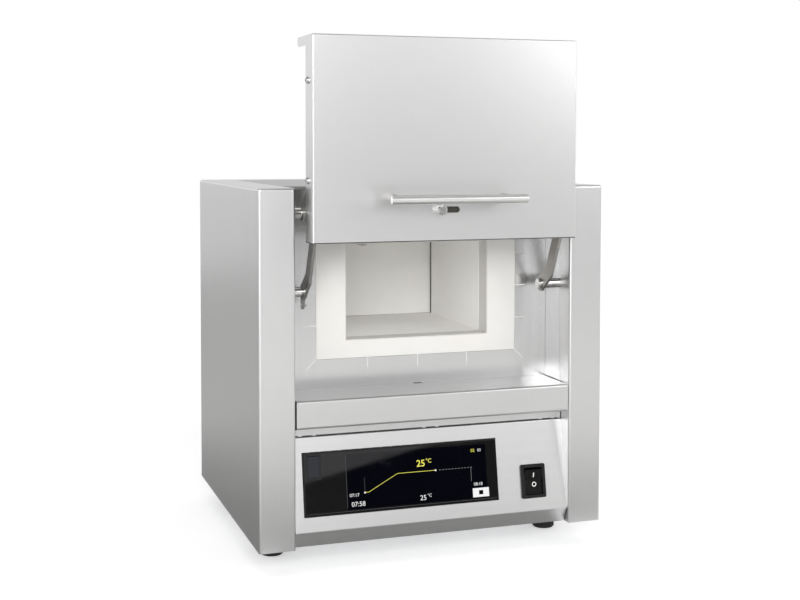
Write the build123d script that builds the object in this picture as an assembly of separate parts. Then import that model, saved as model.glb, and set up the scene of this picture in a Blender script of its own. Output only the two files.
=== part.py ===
from build123d import *
import os
from math import atan2, cos, radians, sin, tan

# Bench muffle furnace with a parallel-lift door, drawn with the door raised.
# Sizes are millimetres. Pieces are drawn from the front face of the casing (y = 0)
# and its bottom edge (z = 0); place() then stands the furnace on its feet with the
# origin under the middle of its outline.

# ---------------------------------------------------------------- driving sizes
# casing
body_w = 385.0
body_d = 334.0
body_h = 372.0
sheet = 1.0
bend = 2.5
seam = 0.4
column_w = 38.5
return_d = 24.0
recess_d = 62.0
rear_wrap = 42.5
flange_w = 15.0
hinge_sheet = 2.0
hinge_low = 20.0
tray_edge = 12.0
# rear wall
vent_l = 30.0
vent_w = 3.6
vent_pitch = 14.0
vent_count = 15
vent_low = 78.0
vent_drop = 42.0
screw_d = 7.6
screw_t = 2.4
screw_side = 16.5
screw_end = 16.0
hole_gap = 0.1
# feet
foot_h = 26.0
foot_d = 25.0
foot_side = 31.5
foot_front = 80.0
foot_rear = 62.0
# beam and control panel under the door recess
floor_z = 153.6
beam_h = 29.6
beam_set = 1.5
beam_gap = 1.6
beam_flange = 12.0
panel_gap = 0.6
panel_top_y = 19.5
panel_top_z = 112.8
panel_foot_y = 3.0
panel_foot_z = 16.5
skirt_y = 9.5
panel_sheet = 1.2
panel_bend = 2.0
fold_slit_w = 1.0
fold_slit_back = 2.2
fold_slit_end = 16.0
fold_slit_mid = 11.5
fold_bridge = 3.0
beam_notch_w = 9.0
beam_notch_d = 3.0
lid_edge = 10.0
lid_brow = 4.0
# display glass, in the plane of the control panel
glass_side = 9.8
glass_gap = 27.1
glass_h = 66.0
glass_low = 15.2
glass_t = 3.0
glass_proud = 0.5
housing_wall = 2.5
housing_d = 30.0
fit = 0.3
# USB flap in the glass
flap_w = 12.6
flap_h = 22.8
flap_t = 2.0
flap_in = 5.4
flap_top = 4.0
flap_pin_d = 1.2
flap_frame = 1.5
flap_gap = 0.2
well_d = 16.0
usb_w = 8.4
usb_h = 15.4
usb_l = 12.0
usb_wall = 0.7
usb_tongue_t = 1.2
# rocker switch
switch_side = 38.4
switch_mid = 32.0
bezel_w = 29.0
bezel_h = 36.6
bezel_t = 2.4
bezel_lap = 2.0
switch_depth = 26.0
blade_w = 12.0
blade_t = 0.8
blade_l = 8.0
blade_pitch = 9.0
rocker_w = 20.6
rocker_h = 27.0
rocker_tilt = 10.0
rocker_pin_d = 3.0
rocker_back = 6.0
rocker_crest = 2.2
rocker_axis = 2.0
rocker_well = 12.0
# front plate and ceramic collar
plate_t = 1.2
collar_side = 38.2
collar_low = 31.8
collar_drop = 41.0
collar_proud = 0.2
collar_t = 24.0
slit_l = 12.0
slit_w = 1.2
slit_set = 0.1
# heated chamber
rim_side = 33.8
rim_low = 19.6
rim_top = 22.0
chamber_d = 186.0
heater_t = 22.0
heater_gap = 3.0
heater_edge = 1.5
back_t = 26.0
liner_side = 30.2
liner_low = 3.4
liner_drop = 14.0
rear_space = 48.0
# flue and thermocouple
flue_x = -52.0
flue_r = 10.0
flue_wall = 1.0
flue_bore_r = 6.0
flue_out = 12.0
flue_drop = 19.0
flue_flange_d = 44.0
flue_flange_t = 1.5
probe_r = 4.5
probe_x = -11.0
probe_drop = 12.0
probe_in = 22.0
head_w = 22.0
head_d = 14.0
head_h = 18.0
# mains gland
gland_side = 64.5
gland_z = 46.0
gland_d = 21.0
gland_neck_d = 16.0
gland_nut_r = 12.0
gland_nut_t = 6.0
gland_bore_r = 4.5
gland_out = 11.0
gland_in = 14.0
# relay and terminal block on the base tray
relay_x = -70.0
relay_y = 150.0
sink_w = 52.0
sink_d = 70.0
sink_h = 19.0
fin_pitch = 7.0
fin_gap = 4.4
fin_low = 7.0
relay_side = 4.0
relay_end = 6.0
relay_h = 23.0
terminal_in = 12.0
terminal_rear = 66.0
terminal_w = 64.0
terminal_d = 22.0
terminal_h = 17.0
terminal_pitch = 12.0
terminal_count = 5
terminal_r = 3.2
terminal_hole = 4.0
# door
door_gap = 9.5
door_sill = 5.4
door_head = 4.0
door_front = -32.5
door_side = 26.5
door_top_d = 58.6
door_lip = 10.0
door_bend = 1.6
tray_side = 20.5
tray_low = 20.0
tray_high = 23.0
tray_front = 19.5
plug_proud = 3.1
plug_gap = 0.3
rail_in = 38.0
rail_h = 18.0
rail_end = 10.0
bracket_t = 3.0
bracket_high = 24.0
bracket_front = 2.5
bracket_low = 2.0
flank_screw_d = 7.4
flank_screw_t = 2.6
flank_screw_in = 16.5
flank_screw_low = 62.8
flank_screw_high = 45.7
# linkage
pivot_low_y = 36.5
pivot_low = 108.4
pivot_drop = 27.0
arm_out_y = -50.0
arm_out_z = 73.0
arm_swing = 130.0
elbow_y = -21.5
elbow_z = 15.5
arm_inset = 8.0
arm_t = 3.0
arm_w = 16.0
arm_end_r = 8.6
pivot_d = 8.0
running = 0.05
loose = 0.5
spacer_d = 11.0
bolt_head_d = 13.0
bolt_head_t = 3.0
dome_edge = 1.5
bolt_nut_r = 7.5
bolt_nut_t = 6.0
boss_d = 12.0
stud_head_d = 11.5
stud_head_t = 1.9
tail_l = 18.5
tail_pin_d = 2.4
tail_pin_l = 3.0
tail_pin_up = 3.6
# handle and air slider
handle_d = 9.0
handle_l = 146.0
handle_reach = 34.5
handle_up = 44.5
stem_d = 8.0
stem_x = 60.0
slot_h = 6.4
slot_up = 32.3
slide_travel = 19.0
slide_pin_d = 5.0
slide_plate_l = 48.0
slide_plate_h = 18.0
slide_plate_t = 1.2
guide_edge = 4.0
guide_t = 3.2
guide_slot = 2.0
knob_d = 11.0
knob_l = 9.0
knob_edge = 2.2
knob_gap = 0.4

# -------------------------------------------------------------- derived places
half_w = body_w / 2
inner_x = half_w - column_w
plate_y = recess_d
rear_seam_y = body_d - rear_wrap
lean = atan2(panel_top_y - panel_foot_y, panel_top_z - panel_foot_z)
panel_plane = Plane(
    origin=(0, panel_foot_y, panel_foot_z),
    x_dir=(1, 0, 0),
    z_dir=(0, -cos(lean), sin(lean)),
)
panel_half = inner_x - panel_gap
switch_x = panel_half - switch_side
glass_left = -panel_half + glass_side
glass_w = switch_x - bezel_w / 2 - glass_gap - glass_left
collar_w = 2 * (inner_x - collar_side)
collar_z = floor_z + collar_low
collar_h = body_h - collar_drop - collar_z
chamber_w = collar_w - 2 * rim_side
chamber_z = collar_z + rim_low
chamber_h = collar_h - rim_low - rim_top
liner_y = plate_y + plate_t
liner_w = collar_w + 2 * liner_side
liner_z = floor_z + liner_low
liner_top = body_h - liner_drop
liner_back = body_d - rear_space
flue_z = chamber_z + chamber_h - flue_drop
probe_z = chamber_z + chamber_h - probe_drop
gland_x = half_w - gland_side
foot_x = half_w - foot_side
front_reach = handle_reach + handle_d / 2 - door_front
front_y = (front_reach - body_d - flue_out) / 2
pivot_low_z = floor_z + pivot_low
pivot_up_z = body_h - pivot_drop
pivot_rise = pivot_up_z - pivot_low_z
door_pivot_y = pivot_low_y + arm_out_y
door_pivot_z = pivot_low_z + arm_out_z
swing = radians(arm_swing)
door_back = arm_out_y * (cos(swing) - 1) - arm_out_z * sin(swing)
door_lift = arm_out_z * (1 - cos(swing)) - arm_out_y * sin(swing)
door_low = floor_z + door_sill + door_lift
door_h = body_h - door_head - door_sill - floor_z
door_w = 2 * (inner_x - door_gap)
plug_back = plate_y - collar_proud - plug_gap - door_back
tray_w = door_w - 2 * tray_side
tray_h = door_h - tray_low - tray_high
arm_plane = door_w / 2 - arm_inset
arm_in = arm_plane - arm_t / 2
arm_outer = arm_plane + arm_t / 2
flank_in = door_w / 2 - sheet
slot_z = door_low + slot_up


# -------------------------------------------------------------------- helpers
def box(x0, x1, y0, y1, z0, z1):
    """Axis-aligned block between two corners."""
    middle = ((x0 + x1) / 2, (y0 + y1) / 2, (z0 + z1) / 2)
    return Pos(*middle) * Box(x1 - x0, y1 - y0, z1 - z0)


def rod_x(x0, x1, y, z, d):
    """Round bar along X."""
    return Pos((x0 + x1) / 2, y, z) * Rot(0, 90, 0) * Cylinder(d / 2, x1 - x0)


def rod_y(x, y0, y1, z, d):
    """Round bar along Y."""
    return Pos(x, (y0 + y1) / 2, z) * Rot(90, 0, 0) * Cylinder(d / 2, y1 - y0)


def folded(points, thickness, x0, x1, radius=bend):
    """Sheet bent along a side profile of (y, z) points and running from x0 to x1."""
    line = FilletPolyline(*points, radius=radius - thickness / 2)
    profile = Plane.YZ * trace(line, thickness)
    return Pos(x0, 0, 0) * extrude(profile, x1 - x0)


def mirrored(shape):
    """The same piece on the other side of the furnace."""
    return mirror(shape, Plane.YZ)


def place(shape):
    """Stand a piece on the feet, about the middle of the outline."""
    return Pos(0, front_y, foot_h) * shape


def save(name, *solids):
    """Write one sub-part."""
    bodies = [place(s) for item in solids for s in item.solids()]
    shape = bodies[0] if len(bodies) == 1 else Compound(children=bodies)
    shape.label = name
    export_step(shape, f"parts/{name}.step")


# --------------------------------------------------------------------- casing
def side_cover():
    """Right-hand side cover: side wall, top and bottom flanges, front column."""
    skin = box(inner_x, half_w, 0, rear_seam_y - seam, 0, body_h)
    front = skin.edges().filter_by(Axis.Z).group_by(Axis.Y)[0]
    top = skin.edges().filter_by(Axis.Y).group_by(Axis.Z)[-1].sort_by(Axis.X)[-1]
    brow = skin.edges().filter_by(Axis.X).group_by(Axis.Z)[-1].sort_by(Axis.Y)[0]
    skin = fillet([*front, top, brow], bend)
    hollow = box(inner_x + sheet, half_w - sheet, sheet, body_d, -1, body_h - sheet)
    front = hollow.edges().filter_by(Axis.Z).group_by(Axis.Y)[0]
    top = hollow.edges().filter_by(Axis.Y).group_by(Axis.Z)[-1].sort_by(Axis.X)[-1]
    brow = hollow.edges().filter_by(Axis.X).group_by(Axis.Z)[-1].sort_by(Axis.Y)[0]
    hollow = fillet([*front, top, brow], bend - sheet)
    inner_side = box(inner_x - 1, inner_x + 2 * sheet, return_d, body_d, -1, body_h - sheet)
    foot = box(half_w - flange_w, half_w - sheet, 2 * bend, rear_seam_y - seam, 0, sheet)
    return skin - hollow - inner_side + foot


def top_cover():
    """Flat lid between the side covers, with a turned-down edge all round."""
    half = inner_x - seam
    y0, y1 = plate_y, rear_seam_y - seam
    low = body_h - lid_edge
    lid = box(-half, half, y0, y1, low, body_h)
    lid = fillet(lid.edges().group_by(Axis.Z)[-1].sort_by(Axis.Y)[0], bend)
    hollow = box(-half + sheet, half - sheet, y0 + sheet, y1 - sheet, low - 1, body_h - sheet)
    return lid - hollow - box(-half - 1, half + 1, y0 - 1, y0 + 3 * sheet, low - 1, body_h - lid_brow)


def vent_slots():
    """Two bands of narrow upright air slots in the rear wall."""
    slots = []
    for z in (vent_low, body_h - vent_drop):
        for i in range(vent_count):
            x = (i - (vent_count - 1) / 2) * vent_pitch
            slots.append(Pos(x, body_d, z) * Box(vent_w, 4 * sheet, vent_l))
    return slots


def rear_cover():
    """Shallow pan that closes the back and wraps the sides and top."""
    pan = box(-half_w, half_w, rear_seam_y, body_d, 0, body_h)
    upright = pan.edges().filter_by(Axis.Z).group_by(Axis.Y)[-1]
    top = pan.edges().group_by(Axis.Z)[-1]
    brow = [*top.filter_by(Axis.Y), *top.filter_by(Axis.X).sort_by(Axis.Y)[-1:]]
    pan = fillet([*upright, *brow], bend)
    hollow = box(-half_w + sheet, half_w - sheet, 0, body_d - sheet, sheet, body_h - sheet)
    upright = hollow.edges().filter_by(Axis.Z).group_by(Axis.Y)[-1]
    hollow = fillet(upright, bend - sheet)
    pan = pan - hollow - vent_slots()
    pan -= rod_y(flue_x, body_d - 2 * sheet, body_d + sheet, flue_z, 2 * (flue_r + hole_gap))
    pan -= rod_y(gland_x, body_d - 2 * sheet, body_d + sheet, gland_z, gland_neck_d + 2 * hole_gap)
    return pan


def base_tray():
    """Floor sheet with turned-up sides, carrying the feet and the electrics."""
    half = half_w - flange_w - seam
    y0 = skirt_y + flange_w + seam
    y1 = rear_seam_y - seam
    floor = box(-half, half, y0, y1, 0, sheet)
    lip = box(-half, half, y1 - sheet, y1, 0, 2 * sheet)
    rear = box(-half, half, y1 - sheet, body_d - sheet - seam, sheet + 0.2, 2 * sheet)
    right = box(half - sheet, half, y0, y1, 0, tray_edge)
    return floor + lip + rear + right + mirrored(right)


def feet():
    """Four round rubber feet."""
    shapes = []
    for x in (-foot_x, foot_x):
        for y in (foot_front, body_d - foot_rear):
            foot = Pos(x, y, -foot_h / 2) * Cylinder(foot_d / 2, foot_h)
            foot = chamfer(foot.edges().group_by(Axis.Z)[0], 1.5)
            shapes.append(foot)
    return shapes


# ------------------------------------------------- recess, beam, control panel
def hinge_plate():
    """Right-hand wall of the door recess, carrying the two fixed pivots."""
    t = hinge_sheet
    y0 = return_d + seam
    top = body_h - sheet - bend
    web = box(inner_x, inner_x + t, y0, plate_y + plate_t, hinge_low, top)
    tab = box(inner_x, half_w - sheet - fit, y0, y0 + t, hinge_low, top)
    plate = web + tab
    for z in (pivot_low_z, pivot_up_z):
        plate -= rod_x(inner_x - 1, inner_x + t + 1, pivot_low_y, z, pivot_d + 2 * running)
    return plate


def collar_window():
    """Opening of the front plate round the collar."""
    mid_z = collar_z + collar_h / 2
    return Pos(0, plate_y, mid_z) * Box(collar_w + 2 * fit, 10, collar_h + 2 * fit)


def slit_blocks(width, y0, y1):
    """Blocks in the places of the expansion slits, three on each side and one at each corner."""
    middle = Pos(0, (y0 + y1) / 2, collar_z + collar_h / 2)
    half_x, half_z = collar_w / 2 + fit, collar_h / 2 + fit
    blocks = []
    for side in (-1, 1):
        for share in (-0.25, 0, 0.25):
            upright = Pos(share * collar_w, 0, side * (half_z + slit_l / 2))
            level = Pos(side * (half_x + slit_l / 2), 0, share * collar_h)
            blocks.append(middle * upright * Box(width, y1 - y0, slit_l))
            blocks.append(middle * level * Box(slit_l, y1 - y0, width))
        for rise in (-1, 1):
            corner = Pos(side * (half_x + 0.35 * slit_l), 0, rise * (half_z + 0.35 * slit_l))
            slant = Rot(0, -45 * side * rise, 0) * Box(1.4 * slit_l, y1 - y0, width)
            blocks.append(middle * corner * slant)
    return blocks


def front_plate():
    """Rear wall of the recess, with the collar window and its expansion slits."""
    half = inner_x - 0.2
    top = body_h - lid_brow - seam
    plate = box(-half, half, plate_y, plate_y + plate_t, panel_top_z - panel_sheet, top)
    plate -= collar_window()
    for block in slit_blocks(slit_w, plate_y - 5, plate_y + 5):
        plate -= block
    return plate


def slit_seals():
    """Strips of the fibre lining that fill the expansion slits."""
    seals = Part()
    for block in slit_blocks(slit_w - slit_set, plate_y + slit_set, plate_y + plate_t):
        seals += block - collar_window()
    return seals


def front_beam():
    """Folded sheet: recess floor, front apron and the edge turned back under it."""
    low = floor_z - beam_h
    half_t = sheet / 2
    points = [
        (plate_y - 0.2, floor_z - half_t),
        (beam_set + half_t, floor_z - half_t),
        (beam_set + half_t, low + half_t),
        (beam_set + beam_flange, low + half_t),
    ]
    beam = folded(points, sheet, -inner_x + beam_gap, inner_x - beam_gap)
    half = beam_notch_w / 2
    return beam - box(-half, half, plate_y - beam_notch_d, plate_y + 1, floor_z - 5, floor_z + 5)


def panel_cut(x0, x1, low, high, depth=20.0):
    """Block that cuts a window through the sloping face of the control panel."""
    size = (x1 - x0, high - low, 2 * depth)
    return panel_plane * Pos((x0 + x1) / 2, (low + high) / 2, 0) * Box(*size)


def control_panel():
    """Folded sheet: ledge, leaning face, skirt under it and the flange below."""
    half_t = panel_sheet / 2
    foot_y = panel_foot_y + half_t * cos(lean)
    foot_z = panel_foot_z - half_t * sin(lean)
    fold_z = panel_top_z - half_t
    points = [
        (plate_y - seam, fold_z),
        (foot_y + (fold_z - foot_z) * tan(lean), fold_z),
        (foot_y, foot_z),
        (skirt_y + half_t, half_t),
        (skirt_y + flange_w, half_t),
    ]
    panel = folded(points, panel_sheet, -panel_half, panel_half, radius=panel_bend)
    window = panel_cut(glass_left - fit, glass_left + glass_w + fit,
                       glass_low - fit, glass_low + glass_h + fit)
    hole_w, hole_h = bezel_w / 2 - bezel_lap, bezel_h / 2 - bezel_lap
    hole = panel_cut(switch_x - hole_w, switch_x + hole_w, switch_mid - hole_h, switch_mid + hole_h)
    panel = panel - window - hole
    y0 = panel_top_y + fold_slit_back
    for x0, x1 in fold_slits():
        panel -= box(x0, x1, y0, y0 + fold_slit_w, panel_top_z - 5, panel_top_z + 5)
    return panel


def fold_slits():
    """Ends of the relief slits along the fold at the top of the control panel."""
    short = 2 * fold_slit_end + 2 * fold_slit_mid
    long = (2 * inner_x - 7 * fold_bridge - short) / 2
    x = -inner_x + fold_bridge
    spans = []
    for length in (fold_slit_end, long, fold_slit_mid, long, fold_slit_mid, fold_slit_end):
        spans.append((x, x + length))
        x += length + fold_bridge
    return spans


def flap_place():
    """Left, right, lower and upper edge of the USB flap in the panel plane."""
    left = glass_left + flap_in
    high = glass_low + glass_h - flap_top
    return left, left + flap_w, high - flap_h, high


def flap_axis():
    """Height and depth of the flap's pin in the panel plane."""
    return flap_place()[3] - flap_t / 2, glass_proud - flap_t / 2


def display_glass():
    """Flat touch glass with a square window for the USB flap."""
    z0 = glass_proud - glass_t
    glass = panel_plane * Pos(glass_left + glass_w / 2, glass_low + glass_h / 2, z0 + glass_t / 2)
    glass = glass * Box(glass_w, glass_h, glass_t)
    left, right, low, high = flap_place()
    grow = flap_frame + flap_gap + 0.1
    return glass - panel_cut(left - grow, right + grow, low - grow, high + grow)


def controller_housing():
    """Moulded housing behind the glass, with a framed well behind the USB flap."""
    z1 = glass_proud - glass_t
    x0, x1 = glass_left + housing_wall, glass_left + glass_w - housing_wall
    low, high = glass_low + housing_wall, glass_low + glass_h - housing_wall
    body = Box(x1 - x0, high - low, housing_d)
    body = Pos((x0 + x1) / 2, (low + high) / 2, z1 - housing_d / 2) * body
    left, right, flow, fhigh = flap_place()
    middle = Pos((left + right) / 2, (flow + fhigh) / 2, 0)
    open_w, open_h = right - left + 2 * flap_gap, fhigh - flow + 2 * flap_gap
    frame = Box(open_w + 2 * flap_frame, open_h + 2 * flap_frame, 2 * glass_proud)
    frame += Pos(0, 0, z1) * Box(open_w + 2 * flap_frame, open_h + 2 * flap_frame, -2 * z1)
    body += middle * frame
    body -= middle * Box(open_w, open_h, 2 * flap_t)
    body -= middle * Pos(0, 0, z1) * Box(open_w - 2.6, open_h - 2.6, 2 * well_d)
    body -= Pos((left + right) / 2, *flap_axis()) * Rot(0, 90, 0) * Cylinder(
        flap_pin_d / 2 + running, open_w + flap_frame)
    return panel_plane * body


def usb_socket():
    """Upright socket shell at the bottom of the well."""
    z1 = glass_proud - glass_t
    left, right, low, high = flap_place()
    seat = panel_plane * Pos((left + right) / 2, (low + high) / 2, z1 - well_d)
    inner_w, inner_h = usb_w - 2 * usb_wall, usb_h - 2 * usb_wall
    shell = Pos(0, 0, usb_l / 2) * (Box(usb_w, usb_h, usb_l) - Box(inner_w, inner_h, usb_l))
    floor = Pos(0, 0, usb_wall / 2) * Box(usb_w, usb_h, usb_wall)
    tongue_l = 0.8 * usb_l
    tongue = Pos(-usb_w / 4, 0, tongue_l / 2) * Box(usb_tongue_t, 0.7 * usb_h, tongue_l)
    return seat * (shell + floor + tongue)


def usb_flap():
    """Small flap that hinges on its upper edge."""
    left, right, low, high = flap_place()
    z1 = glass_proud
    lid = Pos((left + right) / 2, (low + high) / 2, z1 - flap_t / 2) * Box(flap_w, flap_h, flap_t)
    lid = fillet(lid.edges().filter_by(Axis.X).group_by(Axis.Y)[-1], flap_t / 2 - 0.05)
    lid = fillet(lid.edges().filter_by(Axis.X).group_by(Axis.Y)[0].group_by(Axis.Z)[-1], 0.4)
    pin = Rot(0, 90, 0) * Cylinder(flap_pin_d / 2, flap_w + 2 * flap_gap + flap_frame - 0.3)
    return panel_plane * (lid + Pos((left + right) / 2, *flap_axis()) * pin)


def switch_housing():
    """Bezel and body of the mains switch, hollow where the rocker tips."""
    frame = Pos(0, 0, bezel_t / 2) * Box(bezel_w, bezel_h, bezel_t)
    frame = fillet(frame.edges().filter_by(Axis.Z), 2.0)
    frame = chamfer(frame.edges().group_by(Axis.Z)[-1], 0.8)
    lap = bezel_lap + fit
    body = Box(bezel_w - 2 * lap, bezel_h - 2 * lap, switch_depth)
    well = Box(rocker_w + 0.8, rocker_h + 2.6, 2 * rocker_well)
    pin = Rot(0, 90, 0) * Cylinder(rocker_pin_d / 2 + running, rocker_w + 3.0)
    housing = frame + Pos(0, 0, -switch_depth / 2) * body - well - Pos(0, 0, -rocker_axis) * pin
    blade = Pos(0, 0, -switch_depth - blade_l / 2) * Box(blade_w, blade_t, blade_l)
    blades = [Pos(0, y, 0) * blade for y in (-blade_pitch, 0, blade_pitch)]
    return panel_plane * Pos(switch_x, switch_mid, 0) * (housing + blades)


def rocker():
    """Two-way rocker on its pin, with the lower half pressed in."""
    rise = rocker_h / 2 * sin(radians(rocker_tilt))
    back, crest = -rocker_back, rocker_crest
    face = Polyline((-rocker_h / 2, back), (rocker_h / 2, back), (rocker_h / 2, crest + rise),
                    (0, crest), (-rocker_h / 2, crest + rise), close=True)
    body = extrude(Plane.YZ * make_face(face), rocker_w / 2 - 0.1, both=True)
    body = fillet(body.edges().filter_by(Axis.X).group_by(Axis.Z)[0], 3.0)
    pin = Rot(0, 90, 0) * Cylinder(rocker_pin_d / 2, rocker_w + 2.6)
    tilted = Rot(rocker_tilt, 0, 0) * (body + pin)
    return panel_plane * Pos(switch_x, switch_mid, -rocker_axis) * tilted


# ----------------------------------------------------------- chamber and liner
def collar():
    """Ceramic ring round the mouth of the chamber."""
    mid_z = collar_z + collar_h / 2
    y0 = plate_y - collar_proud
    ring = box(-collar_w / 2, collar_w / 2, y0, plate_y + collar_t, collar_z, collar_z + collar_h)
    ring = fillet(ring.edges().filter_by(Axis.Y), 1.0)
    half = chamber_w / 2
    mouth = box(-half, half, plate_y - 5, plate_y + collar_t + 5, chamber_z, chamber_z + chamber_h)
    ring -= mouth
    lip = ring.edges().group_by(Axis.Y)[0]
    reach = collar_h / 2 - 3
    inner = [e for e in lip if abs(e.center().X) <= half + 0.01 and abs(e.center().Z - mid_z) < reach]
    return chamfer(inner, 1.2)


def chamber_back_y():
    return plate_y + chamber_d


def muffle_floor():
    """Heated floor slab."""
    half = chamber_w / 2 + heater_t
    return box(-half, half, plate_y + collar_t, chamber_back_y(), chamber_z - heater_t, chamber_z)


def muffle_roof():
    """Roof slab."""
    half = chamber_w / 2 + heater_t
    top = chamber_z + chamber_h
    return box(-half, half, plate_y + collar_t, chamber_back_y(), top, top + heater_t)


def heating_plate():
    """Right-hand ceramic plate with its wire cast in, free to grow towards the back slab."""
    half = chamber_w / 2
    y0, y1 = plate_y + collar_t, chamber_back_y() - heater_gap
    slab = box(half, half + heater_t, y0, y1, chamber_z, chamber_z + chamber_h)
    face_ends = slab.edges().filter_by(Axis.Z).group_by(Axis.X)[0]
    return chamfer(face_ends, heater_edge)


def muffle_back():
    """Back slab, bored for the flue and the thermocouple."""
    half = chamber_w / 2 + heater_t
    y0 = chamber_back_y()
    slab = box(-half, half, y0, y0 + back_t, chamber_z - heater_t, chamber_z + chamber_h + heater_t)
    slab -= rod_y(flue_x, y0 - 1, y0 + back_t + 1, flue_z, 2 * flue_bore_r)
    slab -= rod_y(probe_x, y0 - 1, y0 + back_t + 1, probe_z, 2 * (probe_r + fit))
    return slab


def liner_boards():
    """Five boards of fibre insulation packed round the muffle."""
    half = liner_w / 2
    in_x = chamber_w / 2 + heater_t
    low, high = chamber_z - heater_t, chamber_z + chamber_h + heater_t
    y1 = chamber_back_y() + back_t
    window = box(-collar_w / 2 - fit, collar_w / 2 + fit, 0, plate_y + collar_t, collar_z - fit,
                 collar_z + collar_h + fit)
    floor = box(-half, half, liner_y, liner_back, liner_z, low)
    roof = box(-half, half, liner_y, liner_back, high, liner_top)
    left = box(-half, -in_x, liner_y, y1, low, high)
    right = box(in_x, half, liner_y, y1, low, high)
    back = box(-half, half, y1, liner_back, low, high)
    back -= rod_y(flue_x, y1 - 1, liner_back + 1, flue_z, 2 * flue_bore_r)
    back -= rod_y(probe_x, y1 - 1, liner_back + 1, probe_z, 2 * (probe_r + fit))
    return {
        "insulation_floor": floor - window,
        "insulation_roof": roof - window,
        "insulation_left": left - window,
        "insulation_right": right - window,
        "insulation_back": back,
    }


def inner_casing():
    """Sheet box round the insulation, open at the front."""
    half = liner_w / 2 + sheet
    outer = box(-half, half, liner_y, liner_back + sheet, liner_z - sheet, liner_top + sheet)
    outer -= box(-half + sheet, half - sheet, 0, liner_back, liner_z, liner_top)
    outer -= rod_y(flue_x, liner_back - 1, liner_back + 2 * sheet, flue_z, 2 * flue_bore_r)
    outer -= rod_y(probe_x, liner_back - 1, liner_back + 2 * sheet, probe_z, 2 * (probe_r + fit))
    return outer


def flue_tube():
    """Steel flue from the back of the liner out through the rear wall."""
    y0, y1 = liner_back + sheet, body_d + flue_out
    tube = rod_y(flue_x, y0, y1, flue_z, 2 * flue_r)
    flange = rod_y(flue_x, y0, y0 + flue_flange_t, flue_z, flue_flange_d)
    return tube + flange - rod_y(flue_x, y0 - 1, y1 + 1, flue_z, 2 * (flue_r - flue_wall))


def thermocouple():
    """Ceramic-sheathed probe with its connection head."""
    y0, y1 = chamber_back_y() - probe_in, liner_back + sheet
    sheath = rod_y(probe_x, y0, y1, probe_z, 2 * probe_r)
    sheath = chamfer(sheath.edges().group_by(Axis.Y)[0], probe_r / 2)
    head = Pos(probe_x, y1 + head_d / 2, probe_z) * Box(head_w, head_d, head_h)
    head = fillet(head.edges().filter_by(Axis.Y), 3)
    return sheath + head


# -------------------------------------------------------------------- electrics
def relay():
    """Solid-state relay on its cooling block."""
    x0, x1 = relay_x - sink_w / 2, relay_x + sink_w / 2
    y0, y1 = relay_y, relay_y + sink_d
    top = sheet + sink_h
    sink = box(x0, x1, y0, y1, sheet, top)
    for i in range(int(sink_d / fin_pitch)):
        y = y0 + (i + 0.5) * fin_pitch
        sink -= box(x0, x1, y - fin_gap / 2, y + fin_gap / 2, sheet + fin_low, top + 1)
    return sink + box(x0 + relay_side, x1 - relay_side, y0 + relay_end, y1 - relay_end, top, top + relay_h)


def terminal_block():
    """Row of screw terminals for the supply."""
    x, y = gland_x - terminal_in, body_d - terminal_rear - terminal_d / 2
    block = Pos(x, y, sheet + terminal_h / 2) * Box(terminal_w, terminal_d, terminal_h)
    for i in range(terminal_count):
        hole = Pos(x + (i - (terminal_count - 1) / 2) * terminal_pitch, y, sheet + terminal_h)
        block -= hole * Box(2 * terminal_r, 2 * terminal_r, 2 * terminal_hole)
    return block


def cable_gland():
    """Gland for the supply cord: flange outside, nut inside."""
    y = body_d
    outer = rod_y(gland_x, y, y + gland_out, gland_z, gland_d)
    outer = chamfer(outer.edges().group_by(Axis.Y)[-1], 2.5)
    neck = rod_y(gland_x, y - gland_in, y + 1, gland_z, gland_neck_d)
    nut = extrude(RegularPolygon(gland_nut_r, 6), gland_nut_t)
    nut = Pos(gland_x, y - sheet, gland_z) * Rot(90, 0, 0) * nut
    bore = rod_y(gland_x, y - gland_in - 1, y + gland_out + 1, gland_z, 2 * gland_bore_r)
    return outer + neck + nut - bore


def cover_screws():
    """Hexagon-head screws round the rear cover."""
    side = half_w - screw_side
    heads = [hexagon_screw(0, z) for z in (screw_end, body_h - screw_end)]
    for z in (screw_end, body_h / 2, body_h - screw_end):
        heads += [hexagon_screw(-side, z), hexagon_screw(side, z)]
    return heads


def hexagon_screw(x, z):
    """One hexagon head on the rear wall."""
    head = extrude(RegularPolygon(screw_d / 2, 6), screw_t)
    return Pos(x, body_d + screw_t, z) * Rot(90, 0, 0) * head


# --------------------------------------------------------------------- linkage
def arm(door_bore, tail):
    """Dog-leg arm, drawn on the lower right fixed pivot."""
    elbow = (elbow_y, elbow_z)
    tip = (arm_out_y, arm_out_z)
    blade = trace(Polyline((0, 0), elbow), arm_w) + trace(Polyline(elbow, tip), arm_w)
    blade += Pos(*elbow) * Circle(arm_w / 2)
    blade += Circle(arm_end_r)
    blade += Pos(*tip) * Circle(arm_end_r)
    if tail:
        half = arm_w / 2
        wedge = Polyline((-half, half / 2), (half, half / 2), (0.45 * half, -tail_l), (0.1 * half, -tail_l),
                         close=True)
        blade += make_face(wedge) - Pos(*tail_place()) * Circle(tail_pin_d / 2)
    blade -= Circle(pivot_d / 2 + running)
    blade -= Pos(*tip) * Circle(door_bore / 2)
    solid = extrude(Plane.YZ * blade, arm_t / 2, both=True)
    return Pos(arm_plane, pivot_low_y, pivot_low_z) * solid


def tail_place():
    """Middle of the tail pin, from the lower fixed pivot."""
    return 0.26 * arm_w / 2, tail_pin_up - tail_l


def tail_pin():
    """Pin riveted in the tail of the left lower arm."""
    y, z = tail_place()
    x0, x1 = -arm_outer - 0.4, -arm_in + tail_pin_l
    return rod_x(x0, x1, pivot_low_y + y, pivot_low_z + z, tail_pin_d)


def pivot_points():
    """Heights of the two fixed pivots."""
    return (pivot_low_z, pivot_up_z)


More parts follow.
